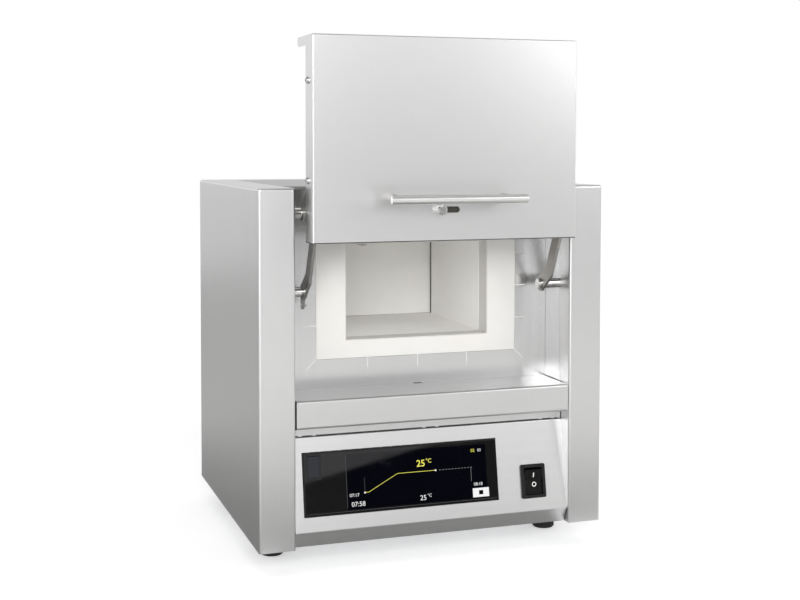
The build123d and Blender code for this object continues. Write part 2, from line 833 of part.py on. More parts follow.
def pivot_bolts():
    """Dome-headed bolts of the fixed pivots, with nuts behind the hinge plates."""
    bolts = []
    for z in pivot_points():
        x = arm_in - 0.2
        head = rod_x(x - bolt_head_t, x, pivot_low_y, z, bolt_head_d)
        head = chamfer(head.edges().group_by(Axis.X)[0], dome_edge)
        x1 = inner_x + hinge_sheet
        shank = rod_x(x - 1, x1 + bolt_nut_t + 1, pivot_low_y, z, pivot_d)
        nut = Pos(x1, pivot_low_y, z) * Rot(0, 90, 0) * extrude(RegularPolygon(bolt_nut_r, 6), bolt_nut_t)
        bolt = head + shank + nut
        bolts += [bolt, mirrored(bolt)]
    return bolts


def pivot_spacers():
    """Tubes that hold the arms clear of the hinge plates."""
    tubes = []
    for z in pivot_points():
        x0, x1 = arm_outer + 0.2, inner_x
        tube = rod_x(x0, x1, pivot_low_y, z, spacer_d)
        tube -= rod_x(x0 - 1, x1 + 1, pivot_low_y, z, pivot_d + 2 * running)
        tubes += [tube, mirrored(tube)]
    return tubes


# ------------------------------------------------------------------------ door
def door_panel():
    """Front sheet of the door with its flanks, bottom flange and deep top plate."""
    half = door_w / 2
    y0 = door_front
    z0, z1 = door_low, door_low + door_h
    skin = box(-half, half, y0, y0 + door_top_d, z0, z1)
    ends = skin.edges().filter_by(Axis.Z).group_by(Axis.Y)[0]
    brow = skin.edges().filter_by(Axis.X).group_by(Axis.Y)[0]
    tops = skin.edges().filter_by(Axis.Y).group_by(Axis.Z)[-1]
    skin = fillet([*ends, *brow, *tops], door_bend)
    hollow = box(-half + sheet, half - sheet, y0 + sheet, y0 + 200, z0 + sheet, z1 - sheet)
    below = box(-half - 1, half + 1, y0 + door_side, y0 + 200, z0 - 1, z1 - door_lip)
    knee = below.edges().filter_by(Axis.X).group_by(Axis.Z)[-1].sort_by(Axis.Y)[0]
    below = fillet(knee, 1.5)
    skin = skin - hollow - below
    lip = skin.edges().filter_by(Axis.X).group_by(Axis.Y)[-1].group_by(Axis.Z)[0]
    skin = fillet(lip, 4.0)
    notch_y = door_pivot_y - arm_w / 2
    notch = box(arm_in - arm_t, arm_outer + arm_t, notch_y, 0, z0 - 1, z0 + sheet + 1)
    skin = skin - notch - mirrored(notch)
    slot = Pos(0, y0, slot_z) * Rot(90, 0, 0) * SlotOverall(slide_travel + slide_pin_d + 2 * fit, slot_h)
    return skin - extrude(slot, 5, both=True)


def tray_box(extra):
    """Corners of the insulation tray grown sideways by extra."""
    half = tray_w / 2 + extra
    z0 = door_low + tray_low
    return -half, half, z0 - extra, z0 + tray_h + extra


def door_tray():
    """Sheet tray behind the front sheet, open to the chamber, holding the plug."""
    x0, x1, z0, z1 = tray_box(0)
    y0 = door_front + tray_front
    y1 = plug_back - plug_proud
    tray = box(x0, x1, y0, y1, z0, z1)
    tray = fillet(tray.edges().filter_by(Axis.Y), bend)
    return tray - box(x0 + sheet, x1 - sheet, y0 + sheet, y1 + 1, z0 + sheet, z1 - sheet)


def door_rails():
    """Channels that join the tray to the front sheet."""
    rails = []
    y0, y1 = door_front + sheet, door_front + tray_front
    half = tray_w / 2 - rail_end
    low = door_low + tray_low
    for z in (low + rail_in, low + tray_h - rail_in):
        channel = box(-half, half, y0, y1, z - rail_h / 2, z + rail_h / 2)
        channel -= box(-half, half, y0 + sheet, y1 - sheet, z - rail_h / 2 + sheet, z + rail_h)
        rails.append(channel)
    return rails


def door_plug():
    """Fibre insulation plug that closes the mouth of the chamber."""
    x0, x1, z0, z1 = tray_box(-sheet)
    y0 = door_front + tray_front + sheet
    plug = box(x0, x1, y0, plug_back, z0, z1)
    rim = plug.edges().group_by(Axis.Y)[-1]
    return chamfer(rim, 3.0)


def door_bracket():
    """Right-hand bracket inside the flank, with the studs that the arms turn on."""
    x0, x1 = flank_in - bracket_t, flank_in
    y0, y1 = door_front + bracket_front, door_front + door_side - sheet
    z0, z1 = door_low + bracket_low, door_low + door_h - bracket_high
    plate = box(x0, x1, y0, y1, z0, z1)
    plate = fillet(plate.edges().filter_by(Axis.X), 3.0)
    for z in (door_pivot_z, door_pivot_z + pivot_rise):
        boss = rod_x(arm_outer + 0.3, x0 + 0.5, door_pivot_y, z, boss_d)
        stud = rod_x(arm_in - 1, x0, door_pivot_y, z, pivot_d)
        head = rod_x(arm_in - 0.3 - stud_head_t, arm_in - 0.3, door_pivot_y, z, stud_head_d)
        plate += boss + stud + head
    return plate


def flank_screws():
    """Dome screws through the flanks into the brackets."""
    screws = []
    y = door_front + flank_screw_in
    for z in (door_low + flank_screw_low, door_low + door_h - flank_screw_high):
        head = rod_x(door_w / 2, door_w / 2 + flank_screw_t, y, z, flank_screw_d)
        head = chamfer(head.edges().group_by(Axis.X)[-1], dome_edge)
        screws += [head, mirrored(head)]
    return screws


def handle_bar():
    """Straight round grip."""
    y = door_front - handle_reach
    bar = rod_x(-handle_l / 2, handle_l / 2, y, door_low + handle_up, handle_d)
    return chamfer(bar.edges().group_by(Axis.X)[0] + bar.edges().group_by(Axis.X)[-1], 0.6)


def handle_stems():
    """Two round stems between the door and the grip."""
    stems = []
    y = door_front - handle_reach
    grip = rod_x(-handle_l, handle_l, y, door_low + handle_up, handle_d)
    for x in (-stem_x, stem_x):
        stem = rod_y(x, y, door_front, door_low + handle_up, stem_d)
        stems.append(stem - grip)
    return stems


def air_slider():
    """Plate behind the front sheet that covers the air slot, with its pin."""
    x = -slide_travel / 2
    y0 = door_front + sheet + fit
    plate = Pos(x, y0 + slide_plate_t / 2, slot_z) * Box(slide_plate_l, slide_plate_t, slide_plate_h)
    return plate + rod_y(x, door_front - knob_l / 3, y0 + 0.2, slot_z, slide_pin_d)


def slider_guide():
    """Guide behind the air slider, fixed to the front sheet above and below it."""
    y0 = door_front + sheet
    y1 = y0 + guide_t
    reach = slide_plate_l / 2 + slide_travel / 2 + fit
    half = slide_plate_h / 2 + fit
    body = box(-reach, reach, y0, y1, slot_z - half - guide_edge, slot_z + half + guide_edge)
    body -= box(-reach, reach, y0, y0 + guide_slot, slot_z - half, slot_z + half)
    window_w, window_h = slide_travel / 2 + slide_pin_d / 2, slot_h / 2 + 2 * fit
    return body - box(-window_w, window_w, y0, y1, slot_z - window_h, slot_z + window_h)


def slider_knob():
    """Domed knob on the pin of the air slider."""
    x = -slide_travel / 2
    y1 = door_front - knob_gap
    y0 = y1 - knob_l
    knob = rod_y(x, y0, y1, slot_z, knob_d)
    knob = chamfer(knob.edges().group_by(Axis.Y)[0], knob_edge)
    return knob - rod_y(x, door_front - knob_l / 3, door_front, slot_z, slide_pin_d)


# ----------------------------------------------------------------------- write
os.makedirs("parts", exist_ok=True)

save("right_side_cover", side_cover())
save("left_side_cover", mirrored(side_cover()))
save("top_cover", top_cover())
save("rear_cover", rear_cover())
save("base_tray", base_tray())
save("feet", *feet())
save("right_hinge_plate", hinge_plate())
save("left_hinge_plate", mirrored(hinge_plate()))
save("front_plate", front_plate())
save("slit_seals", slit_seals())
save("front_beam", front_beam())
save("control_panel", control_panel())
save("display_glass", display_glass())
save("controller_housing", controller_housing())
save("usb_socket", usb_socket())
save("usb_flap", usb_flap())
save("switch_housing", switch_housing())
save("rocker", rocker())
save("collar", collar())
save("muffle_floor", muffle_floor())
save("muffle_roof", muffle_roof())
save("right_heating_plate", heating_plate())
save("left_heating_plate", mirrored(heating_plate()))
save("muffle_back", muffle_back())
for board, solid in liner_boards().items():
    save(board, solid)
save("inner_casing", inner_casing())
save("flue_tube", flue_tube())
save("thermocouple", thermocouple())
save("relay", relay())
save("terminal_block", terminal_block())
save("cable_gland", cable_gland())
save("cover_screws", *cover_screws())
save("right_lower_arm", arm(pivot_d + 2 * running, False))
save("left_lower_arm", mirrored(arm(pivot_d + 2 * running, True)))
save("right_upper_arm", Pos(0, 0, pivot_rise) * arm(pivot_d + 2 * loose, False))
save("left_upper_arm", mirrored(Pos(0, 0, pivot_rise) * arm(pivot_d + 2 * loose, False)))
save("pivot_bolts", *pivot_bolts())
save("pivot_spacers", *pivot_spacers())
save("tail_pin", tail_pin())
save("door_panel", door_panel())
save("door_tray", door_tray())
save("door_rails", *door_rails())
save("door_plug", door_plug())
save("right_door_bracket", door_bracket())
save("left_door_bracket", mirrored(door_bracket()))
save("flank_screws", *flank_screws())
save("handle_bar", handle_bar())
save("handle_stems", *handle_stems())
save("air_slider", air_slider())
save("slider_guide", slider_guide())
save("slider_knob", slider_knob())
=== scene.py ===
"""Looks of a bench muffle furnace with a lift door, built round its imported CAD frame.

The file is laid out as an add-on: settings, one operator for each group of pieces and one
for the stage, a panel that lists them, and main(), which calls them in order. Lengths are
metres in the frame's own axes: +Z up, -Y the front, +X to the right.
"""

from math import cos, pi, radians, sin

import bmesh
import bpy
from mathutils import Matrix, Vector


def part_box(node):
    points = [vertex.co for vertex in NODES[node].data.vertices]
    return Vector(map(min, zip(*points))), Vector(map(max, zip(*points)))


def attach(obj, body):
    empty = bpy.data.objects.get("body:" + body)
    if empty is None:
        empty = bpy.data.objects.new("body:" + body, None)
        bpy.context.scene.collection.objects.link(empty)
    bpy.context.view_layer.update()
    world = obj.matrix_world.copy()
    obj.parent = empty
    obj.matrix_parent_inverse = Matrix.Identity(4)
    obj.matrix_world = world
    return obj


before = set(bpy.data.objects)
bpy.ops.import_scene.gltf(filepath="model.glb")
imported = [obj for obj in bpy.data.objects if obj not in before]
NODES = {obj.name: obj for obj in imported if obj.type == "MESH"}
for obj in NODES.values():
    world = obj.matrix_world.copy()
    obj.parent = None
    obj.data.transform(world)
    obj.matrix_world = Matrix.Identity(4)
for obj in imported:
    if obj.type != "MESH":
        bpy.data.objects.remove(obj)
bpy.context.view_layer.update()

bl_info = {
    "name": "Muffle furnace looks",
    "version": (1, 0, 0),
    "blender": (4, 5, 0),
    "location": "3D View > Sidebar > Furnace",
    "description": "Finishes and printed details of a bench muffle furnace",
    "category": "Object",
}

MM = 0.001
HAIR = 0.05 * MM  # the least clearance and thickness of thin trim


# ------------------------------------------------------------------ node helpers
class Net:
    """A node tree with short calls for adding and joining nodes."""

    def __init__(self, tree):
        self.tree = tree

    def add(self, kind, values=(), **settings):
        """Add a node, set its properties, then its sockets by name or number."""
        node = self.tree.nodes.new(kind)
        for name, value in settings.items():
            setattr(node, name, value)
        for socket, value in dict(values).items():
            self.put(node.inputs[socket], value)
        return node

    def put(self, socket, value):
        """Join an output to a socket, or write a plain value in it."""
        if isinstance(value, bpy.types.NodeSocket):
            self.tree.links.new(value, socket)
        else:
            socket.default_value = value

    def maths(self, operation, first, second=0.0, clamp=False):
        """Output of one sum on two numbers."""
        node = self.add("ShaderNodeMath", {0: first, 1: second}, operation=operation, use_clamp=clamp)
        return node.outputs[0]

    def span(self, value, low, high, to_low=0.0, to_high=1.0, smooth=True):
        """A value mapped from one range to another and held at its ends."""
        kind = "SMOOTHSTEP" if smooth else "LINEAR"
        node = self.add("ShaderNodeMapRange", {0: value, 1: low, 2: high, 3: to_low, 4: to_high},
                        interpolation_type=kind)
        return node.outputs[0]

    def blend(self, factor, first, second):
        """Output of a colour mix."""
        node = self.add("ShaderNodeMix", data_type="RGBA")
        self.put(node.inputs["Factor"], factor)
        self.put(node.inputs["A"], first)
        self.put(node.inputs["B"], second)
        return node.outputs["Result"]

    def place(self):
        """Coordinates fixed to the piece, in metres."""
        return self.add("ShaderNodeTexCoord").outputs["Object"]

    def noise(self, vector, scale, detail=3.0, rough=0.5):
        """Soft noise from 0 to 1."""
        node = self.add("ShaderNodeTexNoise", {"Vector": vector, "Scale": scale, "Detail": detail,
                                               "Roughness": rough})
        return node.outputs[0]

    def stretched(self, vector, scale):
        """A vector scaled by a different amount on each axis."""
        return self.add("ShaderNodeVectorMath", {0: vector, 1: scale}, operation="MULTIPLY").outputs[0]

    def along(self, vector, direction):
        """How far a vector reaches in a direction."""
        node = self.add("ShaderNodeVectorMath", {0: vector, 1: direction}, operation="DOT_PRODUCT")
        return node.outputs["Value"]

    def length(self, vector):
        """Length of a vector."""
        return self.add("ShaderNodeVectorMath", {0: vector}, operation="LENGTH").outputs["Value"]


def shared_effect(name, inputs, outputs):
    """Turns a function that fills a node group into one that makes the group once and returns it.

    The inputs are {name: default} and the outputs names; the function gets the group's net,
    the values given to it and the sockets of its results.
    """

    def wrap(fill):
        def effect():
            if name not in bpy.data.node_groups:
                tree = bpy.data.node_groups.new(name, "ShaderNodeTree")
                for label, value in inputs.items():
                    kind = "NodeSocketFloat" if isinstance(value, float) else "NodeSocketVector"
                    socket = tree.interface.new_socket(name=label, in_out="INPUT", socket_type=kind)
                    socket.default_value = value
                for label in outputs:
                    tree.interface.new_socket(name=label, in_out="OUTPUT", socket_type="NodeSocketFloat")
                net = Net(tree)
                fill(net, net.add("NodeGroupInput").outputs, net.add("NodeGroupOutput").inputs)
            return bpy.data.node_groups[name]

        return effect

    return wrap


@shared_effect("Linen Grain", {"Pitch": 0.0022, "Contrast": 0.05}, ("Height", "Tone"))
def linen_grain(net, given, result):
    """Fine pressed grid of textured sheet: its height, and a tone near 1."""
    parts = net.add("ShaderNodeSeparateXYZ", {0: net.place()})
    turns = net.maths("DIVIDE", 2 * pi, given["Pitch"])
    waves = [net.maths("COSINE", net.maths("MULTIPLY", parts.outputs[i], turns)) for i in range(3)]
    total = net.maths("ADD", net.maths("ADD", waves[0], waves[1]), waves[2])
    height = net.span(total, -3.0, 3.0, smooth=False)
    uneven = net.noise(net.place(), 900.0, 2.0)
    height = net.maths("ADD", height, net.maths("MULTIPLY", uneven, 0.15))
    swing = net.maths("MULTIPLY", net.maths("SUBTRACT", height, 0.57), given["Contrast"])
    net.put(result["Height"], height)
    net.put(result["Tone"], net.maths("ADD", swing, 1.0))


@shared_effect("Rolled Streaks", {"Stretch": (6.0, 6.0, 900.0), "Coarse": (2.0, 2.0, 90.0)}, ("Value",))
def rolled_streaks(net, given, result):
    """Long streaks of rolled or brushed metal along one axis: a value from 0 to 1."""
    fine = net.noise(net.stretched(net.place(), given["Stretch"]), 1.0, 4.0, 0.6)
    broad = net.noise(net.stretched(net.place(), given["Coarse"]), 1.0, 2.0)
    value = net.maths("ADD", net.maths("MULTIPLY", fine, 0.65), net.maths("MULTIPLY", broad, 0.35))
    net.put(result["Value"], net.span(value, 0.32, 0.68))


@shared_effect("Handling Smudges", {"Scale": 9.0}, ("Value",))
def handling_smudges(net, given, result):
    """Faint wiped patches and finger marks: a value from 0 to 1."""
    broad = net.noise(net.place(), given["Scale"], 1.0, 0.5)
    fine_scale = net.maths("MULTIPLY", given["Scale"], 7.0)
    fine = net.noise(net.place(), fine_scale, 1.0, 0.5)
    value = net.maths("MULTIPLY", net.span(broad, 0.35, 0.7), net.span(fine, 0.3, 0.75))
    net.put(result["Value"], value)


@shared_effect("Edge Wear", {"Radius": 0.0008, "Breakup": 160.0}, ("Mask",))
def edge_wear_and_highlight(net, given, result):
    """Mask of rubbed outer edges and bends, broken up along their length: wear, and a painted highlight where
    the bends catch the light.
    """
    rounded = net.add("ShaderNodeBevel", {"Radius": given["Radius"]}, samples=4)
    true_normal = net.add("ShaderNodeNewGeometry").outputs["Normal"]
    turned = net.along(rounded.outputs[0], true_normal)
    bent = net.span(net.maths("SUBTRACT", 1.0, turned), 0.01, 0.22)
    broken = net.span(net.noise(net.place(), given["Breakup"], 3.0), 0.3, 0.65)
    net.put(result["Mask"], net.maths("MULTIPLY", bent, broken, clamp=True))


@shared_effect("Fired Pores", {"Pores": 420.0, "Lumps": 70.0}, ("Height", "Tone", "Stain"))
def fired_pores(net, given, result):
    """Open pores and soft lumps of vacuum-formed ceramic: height, tone and stain."""
    spots = net.add("ShaderNodeTexVoronoi", {"Vector": net.place(), "Scale": given["Pores"]})
    pits = net.span(spots.outputs["Distance"], 0.05, 0.35)
    fibres = net.noise(net.place(), net.maths("MULTIPLY", given["Pores"], 1.7), 5.0, 0.7)
    lumps = net.noise(net.place(), given["Lumps"], 3.0)
    rough = net.maths("ADD", net.maths("MULTIPLY", pits, 0.35), net.maths("MULTIPLY", fibres, 0.45))
    height = net.maths("ADD", rough, net.maths("MULTIPLY", lumps, 0.5))
    net.put(result["Height"], height)
    net.put(result["Tone"], net.span(height, 0.3, 1.1, 0.955, 1.015, smooth=False))
    net.put(result["Stain"], net.span(net.noise(net.place(), 11.0, 4.0, 0.6), 0.35, 0.75))


class Finish:
    """One material: its Principled shader and the nodes that vary it over the surface."""

    def __init__(self, name, metallic=0.0, **constants):
        self.material = bpy.data.materials.new(name)
        self.material.use_nodes = True
        self.net = Net(self.material.node_tree)
        self.shader = self.material.node_tree.nodes["Principled BSDF"]
        self.shader.inputs["Metallic"].default_value = metallic
        for socket, value in constants.items():
            self.shader.inputs[socket.replace("_", " ")].default_value = value

    def group(self, group, **values):
        """Place a shared effect with this finish's own values."""
        node = self.net.add("ShaderNodeGroup", node_tree=group)
        for socket, value in values.items():
            node.inputs[socket].default_value = value
        return node.outputs

    def colour(self, value):
        """Join or write the base colour."""
        self.net.put(self.shader.inputs["Base Color"], value)

    def roughness(self, value):
        """Join or write the roughness."""
        self.net.put(self.shader.inputs["Roughness"], value)

    def bump(self, height, depth, strength=1.0):
        """Relief from a height that runs from 0 to 1, depth metres deep."""
        node = self.net.add("ShaderNodeBump", {"Height": height, "Distance": depth, "Strength": strength})
        self.net.put(self.shader.inputs["Normal"], node.outputs[0])


def toned(finish, colour, *tones):
    """A colour times each tone."""
    result = tuple(colour[:3]) + (1.0,)
    for tone in tones:
        node = finish.net.add("ShaderNodeVectorMath", operation="SCALE")
        finish.net.put(node.inputs[0], result if isinstance(result, bpy.types.NodeSocket) else result[:3])
        finish.net.put(node.inputs["Scale"], tone)
        result = node.outputs[0]
    return result


def textured_sheet(name, sheet, dim=1.0, duller=0.0, rim=None):
    """Stainless sheet with a fine pressed grid, faint smudges, and bright edges that are partly rubbed wear
    and partly a painted highlight on the bends.

    It takes the sheet settings, its colour times dim and its roughness plus duller. The rim is
    the height of a lower edge, along which a dark band of painted shade is laid.
    """
    finish = Finish(name, metallic=1.0)
    colour = [dim * share for share in sheet.casing]
    roughness = sheet.roughness + duller
    grain = finish.group(linen_grain(), Pitch=sheet.pitch, Contrast=sheet.contrast)
    smudge = finish.group(handling_smudges(), Scale=7.0)["Value"]
    wear_and_highlight = finish.group(edge_wear_and_highlight(), Radius=0.0009, Breakup=140.0)["Mask"]
    net = finish.net
    dulled = net.span(smudge, 0.0, 1.0, 1.0, 0.985, smooth=False)
    base = toned(finish, colour, grain["Tone"], dulled)
    # Painted highlight mixed with wear: the bent edges are lightened towards pale steel.
    wear_and_painted_edges = net.blend(net.maths("MULTIPLY", wear_and_highlight, 0.6), base, (0.86, 0.86, 0.85, 1.0))
    if rim:
        # Painted shade: a dark band along the lower edge of the door.
        level = net.add("ShaderNodeSeparateXYZ", {0: net.place()}).outputs[2]
        rim_shade = net.span(level, rim + 0.9 * MM, rim + 1.3 * MM, 0.9, 0.0)
        wear_and_painted_edges = net.blend(rim_shade, wear_and_painted_edges, (0.09, 0.085, 0.08, 1.0))
    finish.colour(wear_and_painted_edges)
    rough = net.maths("ADD", net.span(smudge, 0.0, 1.0, roughness, roughness + 0.008, smooth=False),
                      net.maths("MULTIPLY", wear_and_highlight, -0.1))
    finish.roughness(rough)
    finish.bump(grain["Height"], sheet.depth)
    return finish.material


def rolled_sheet(name, colour, roughness, stretch, coarse, contrast=0.05, depth=0.000004, swing=0.03):
    """Plain cold-rolled or brushed sheet with long streaks that swing its roughness."""
    finish = Finish(name, metallic=1.0)
    streak = finish.group(rolled_streaks(), Stretch=stretch, Coarse=coarse)["Value"]
    smudge = finish.group(handling_smudges(), Scale=11.0)["Value"]
    wear_and_highlight = finish.group(edge_wear_and_highlight(), Radius=0.0006, Breakup=200.0)["Mask"]
    net = finish.net
    tone = net.span(streak, 0.0, 1.0, 1.0 - contrast, 1.0 + contrast, smooth=False)
    base = toned(finish, colour, tone)
    # Painted highlight mixed with wear: the bent edges are lightened towards pale steel.
    finish.colour(net.blend(net.maths("MULTIPLY", wear_and_highlight, 0.5), base, (0.85, 0.85, 0.84, 1.0)))
    streaky = net.span(streak, 0.0, 1.0, roughness - swing, roughness + swing, smooth=False)
    finish.roughness(net.maths("ADD", streaky, net.maths("MULTIPLY", smudge, swing)))
    if depth:
        finish.bump(streak, depth)
    return finish.material


def fired_ceramic(name, colour, stain, stain_share, depth, pores=420.0):
    """Porous white ceramic, a little stained by heat."""
    finish = Finish(name, **{"Specular_IOR_Level": 0.25})
    look = finish.group(fired_pores(), Pores=pores, Lumps=60.0)
    net = finish.net
    base = toned(finish, colour, look["Tone"])
    stained = toned(finish, stain, look["Tone"])
    finish.colour(net.blend(net.maths("MULTIPLY", look["Stain"], stain_share), base, stained))
    finish.roughness(net.span(look["Tone"], 0.955, 1.015, 0.95, 0.82, smooth=False))
    finish.bump(look["Height"], depth)
    return finish.material


def moulded_plastic(name, colour, roughness, grain_scale, depth, edge=(0.04, 0.04, 0.04)):
    """Moulded plastic or rubber with a fine spark-eroded grain and paler edges, partly rubbed wear and partly
    a painted highlight.
    """
    finish = Finish(name, **{"Specular_IOR_Level": 0.25})
    net = finish.net
    grain = net.noise(net.place(), grain_scale, 3.0, 0.6)
    smudge = finish.group(handling_smudges(), Scale=30.0)["Value"]
    wear_and_highlight = finish.group(edge_wear_and_highlight(), Radius=0.0005, Breakup=400.0)["Mask"]
    tone = net.span(grain, 0.3, 0.7, 0.9, 1.1, smooth=False)
    base = toned(finish, colour, tone)
    # Painted highlight mixed with wear: the bent edges are lightened.
    finish.colour(net.blend(net.maths("MULTIPLY", wear_and_highlight, 0.5), base, (*edge, 1.0)))
    finish.roughness(net.span(smudge, 0.0, 1.0, roughness, roughness + 0.12, smooth=False))
    finish.bump(grain, depth)
    return finish.material


def polished_bar(name, colour, roughness, stretch, coarse):
    """Bright turned or drawn steel with faint tool marks."""
    return rolled_sheet(name, colour, roughness, stretch, coarse, contrast=0.03, depth=0.000002)


def cover_glass(name, colour):
    """Black-backed glass of the touch display."""
    finish = Finish(name, **{"IOR": 1.5, "Specular_IOR_Level": 0.36})
    net = finish.net
    smudge = finish.group(handling_smudges(), Scale=22.0)["Value"]
    finish.colour(toned(finish, colour, net.span(smudge, 0.0, 1.0, 1.0, 1.3, smooth=False)))
    finish.roughness(net.span(smudge, 0.0, 1.0, 0.012, 0.05, smooth=False))
    finish.bump(net.noise(net.place(), 25.0, 2.0), 0.000008)
    return finish.material


def lit_ink(name, colour, strength=1.0):
    """A lit figure or line on the display, finely striped by the screen's pixel rows."""
    finish = Finish(name, **{"Emission_Strength": strength, "Roughness": 0.25})
    net = finish.net
    rows = net.add("ShaderNodeTexWave", {"Vector": net.place(), "Scale": 900.0, "Distortion": 0.0},
                   bands_direction="Z").outputs["Fac"]
    finish.colour((*[0.1 * c for c in colour], 1.0))
    lit = toned(finish, colour, net.span(rows, 0.0, 1.0, 0.93, 1.0, smooth=False))
    net.put(finish.shader.inputs["Emission Color"], lit)
    return finish.material


def dress(material, *names):
    """Give these CAD nodes one material."""
    for name in names:
        slots = NODES[name].data.materials
        slots.clear()
        slots.append(material)


def pair(name):
    """Names of the right-hand and left-hand node."""
    return f"right_{name}", f"left_{name}"


# ------------------------------------------------------------------ faces of nodes
class Face:
    """A flat face of a CAD node, with its own right, up and outward directions."""

    def __init__(self, node, wanted=lambda normal: normal.y < -0.9, pick=-1):
        mesh = NODES[node].data
        groups = {}
        for polygon in mesh.polygons:
            if wanted(polygon.normal):
                level = polygon.normal.dot(polygon.center)
                key = (*(round(c, 2) for c in polygon.normal), round(level, 4))
                groups.setdefault(key, []).append(polygon)
        largest = sorted(groups.values(), key=lambda found: -sum(p.area for p in found))[:2]
        largest.sort(key=lambda found: sum(p.center.z for p in found) / len(found))
        chosen = largest[pick] if pick != -1 else max(largest, key=lambda found: sum(p.area for p in found))
        self.out = sum((p.normal * p.area for p in chosen), Vector()).normalized()
        self.right = Vector((0, 0, 1)).cross(self.out).normalized()
        self.up = self.out.cross(self.right)
        corners = [mesh.vertices[v].co for p in chosen for v in p.vertices]
        across = [c.dot(self.right) for c in corners]
        rise = [c.dot(self.up) for c in corners]
        self.width = max(across) - min(across)
        self.height = max(rise) - min(rise)
        level = sum(c.dot(self.out) for c in corners) / len(corners)
        self.corner = self.right * min(across) + self.up * min(rise) + self.out * level

    def at(self, x, y, lift=0.0):
        """A point x to the right and y up from the lower left corner, lifted off the face."""
        return self.corner + self.right * x + self.up * y + self.out * lift

    def matrix(self, x, y, lift=0.0):
        """Places flat work drawn in X and Y on the face."""
        turn = Matrix((self.right, self.up, self.out)).transposed().to_4x4()
        return Matrix.Translation(self.at(x, y, lift)) @ turn


def placed(name, data):
    """A new object of the scene."""
    thing = bpy.data.objects.new(name, data)
    bpy.context.scene.collection.objects.link(thing)
    return thing


def finished_mesh(name, work):
    """Mesh of what was drawn in bmesh."""
    mesh = bpy.data.meshes.new(name)
    work.to_mesh(mesh)
    work.free()
    return mesh


def piece(name, mesh, body, material):
    """Link a finished mesh as a named piece that rides on a body."""
    mesh.name = name
    mesh.materials.clear()
    mesh.materials.append(material)
    thing = placed(name, mesh)
    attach(thing, body)
    return thing


def solid_outline(outlines, thickness):
    """Mesh of flat outlines, lists of (x, y), drawn as slabs of one thickness."""
    work = bmesh.new()
    for outline in outlines:
        low = [work.verts.new((x, y, 0.0)) for x, y in outline]
        high = [work.verts.new((x, y, thickness)) for x, y in outline]
        work.faces.new(reversed(low))
        work.faces.new(high)
        for i in range(len(outline)):
            j = (i + 1) % len(outline)
            work.faces.new((low[i], low[j], high[j], high[i]))
    return finished_mesh("outline", work)


def bar(x0, y0, x1, y1):
    """Outline of a rectangle."""
    return [(x0, y0), (x1, y0), (x1, y1), (x0, y1)]


def disc(x, y, radius, count=20):
    """Outline of a round spot."""
    angles = [2 * pi * i / count for i in range(count)]
    return [(x + radius * cos(a), y + radius * sin(a)) for a in angles]


def stroke(points, width):
    """Outlines of a line of one width with joined corners."""
    shapes = []
    for (x0, y0), (x1, y1) in zip(points, points[1:]):
        run = Vector((x1 - x0, y1 - y0)).normalized()
        side = Vector((-run.y, run.x)) * width / 2
        shapes.append([(x0 - side.x, y0 - side.y), (x1 - side.x, y1 - side.y),
                       (x1 + side.x, y1 + side.y), (x0 + side.x, y0 + side.y)])
    shapes += [disc(x, y, width / 2, 12) for x, y in points]
    return shapes


def lettering(text, size, thickness, weight=0.0):
    """Mesh of one line of figures, centred on its middle."""
    curve = bpy.data.curves.new("figures", "FONT")
    curve.body = text
    curve.size = size
    curve.extrude = thickness / 2
    curve.offset = weight
    curve.align_x = "CENTER"
    curve.align_y = "CENTER"
    carrier = placed("figures", curve)
    bpy.context.view_layer.update()
    shaped = carrier.evaluated_get(bpy.context.evaluated_depsgraph_get())
    mesh = bpy.data.meshes.new_from_object(shaped)
    bpy.data.objects.remove(carrier)
    bpy.data.curves.remove(curve)
    return mesh


# ---------------------------------------------------------------------- settings
def tone_property(name, description, default):
    """A colour setting."""
    return bpy.props.FloatVectorProperty(name=name, description=description, subtype="COLOR",
                                         size=3, min=0.0, max=1.0, default=default)


def length_property(name, description, millimetres):
    """A length setting, given in millimetres and kept in metres."""
    return bpy.props.FloatProperty(name=name, description=description, unit="LENGTH",
                                   precision=5, default=millimetres * MM)


def share_property(name, description, default, top=1.0):
    """A plain number setting."""
    return bpy.props.FloatProperty(name=name, description=description, min=0.0, max=top, default=default)


def power_property(name, description, watts):
    """The power of a lamp."""
    return bpy.props.FloatProperty(name=name, description=description, unit="POWER", min=0.0, default=watts)


class SheetSettings(bpy.types.PropertyGroup):
    """Sheet metal of the casing and the door."""

    casing: tone_property("Casing", "Colour of the textured casing sheet", (0.61, 0.61, 0.61))
    recess: tone_property("Recess", "Colour of the plain sheet in the door recess", (0.60, 0.60, 0.60))
    arms: tone_property("Arms", "Colour of the lift arms", (0.36, 0.35, 0.335))
    bright: tone_property("Bright", "Colour of the grip, knob and bolts", (0.68, 0.68, 0.67))
    roughness: share_property("Roughness", "Roughness of the casing sheet", 0.33)
    pitch: length_property("Grain pitch", "Distance between the pressed dots of the sheet", 2.2)
    contrast: share_property("Grain contrast", "How far the grain changes the tone", 0.05)
    depth: length_property("Grain depth", "Depth of the pressed grain", 0.005)


class CeramicSettings(bpy.types.PropertyGroup):
    """Ceramic of the chamber and its insulation."""

    collar: tone_property("Collar", "Colour of the ring round the mouth", (0.70, 0.688, 0.665))
    chamber: tone_property("Chamber", "Colour of the heated walls", (0.955, 0.945, 0.92))
    stain: tone_property("Stain", "Colour of heat-stained patches", (0.74, 0.68, 0.58))
    depth: length_property("Pore depth", "Depth of the pores", 0.12)


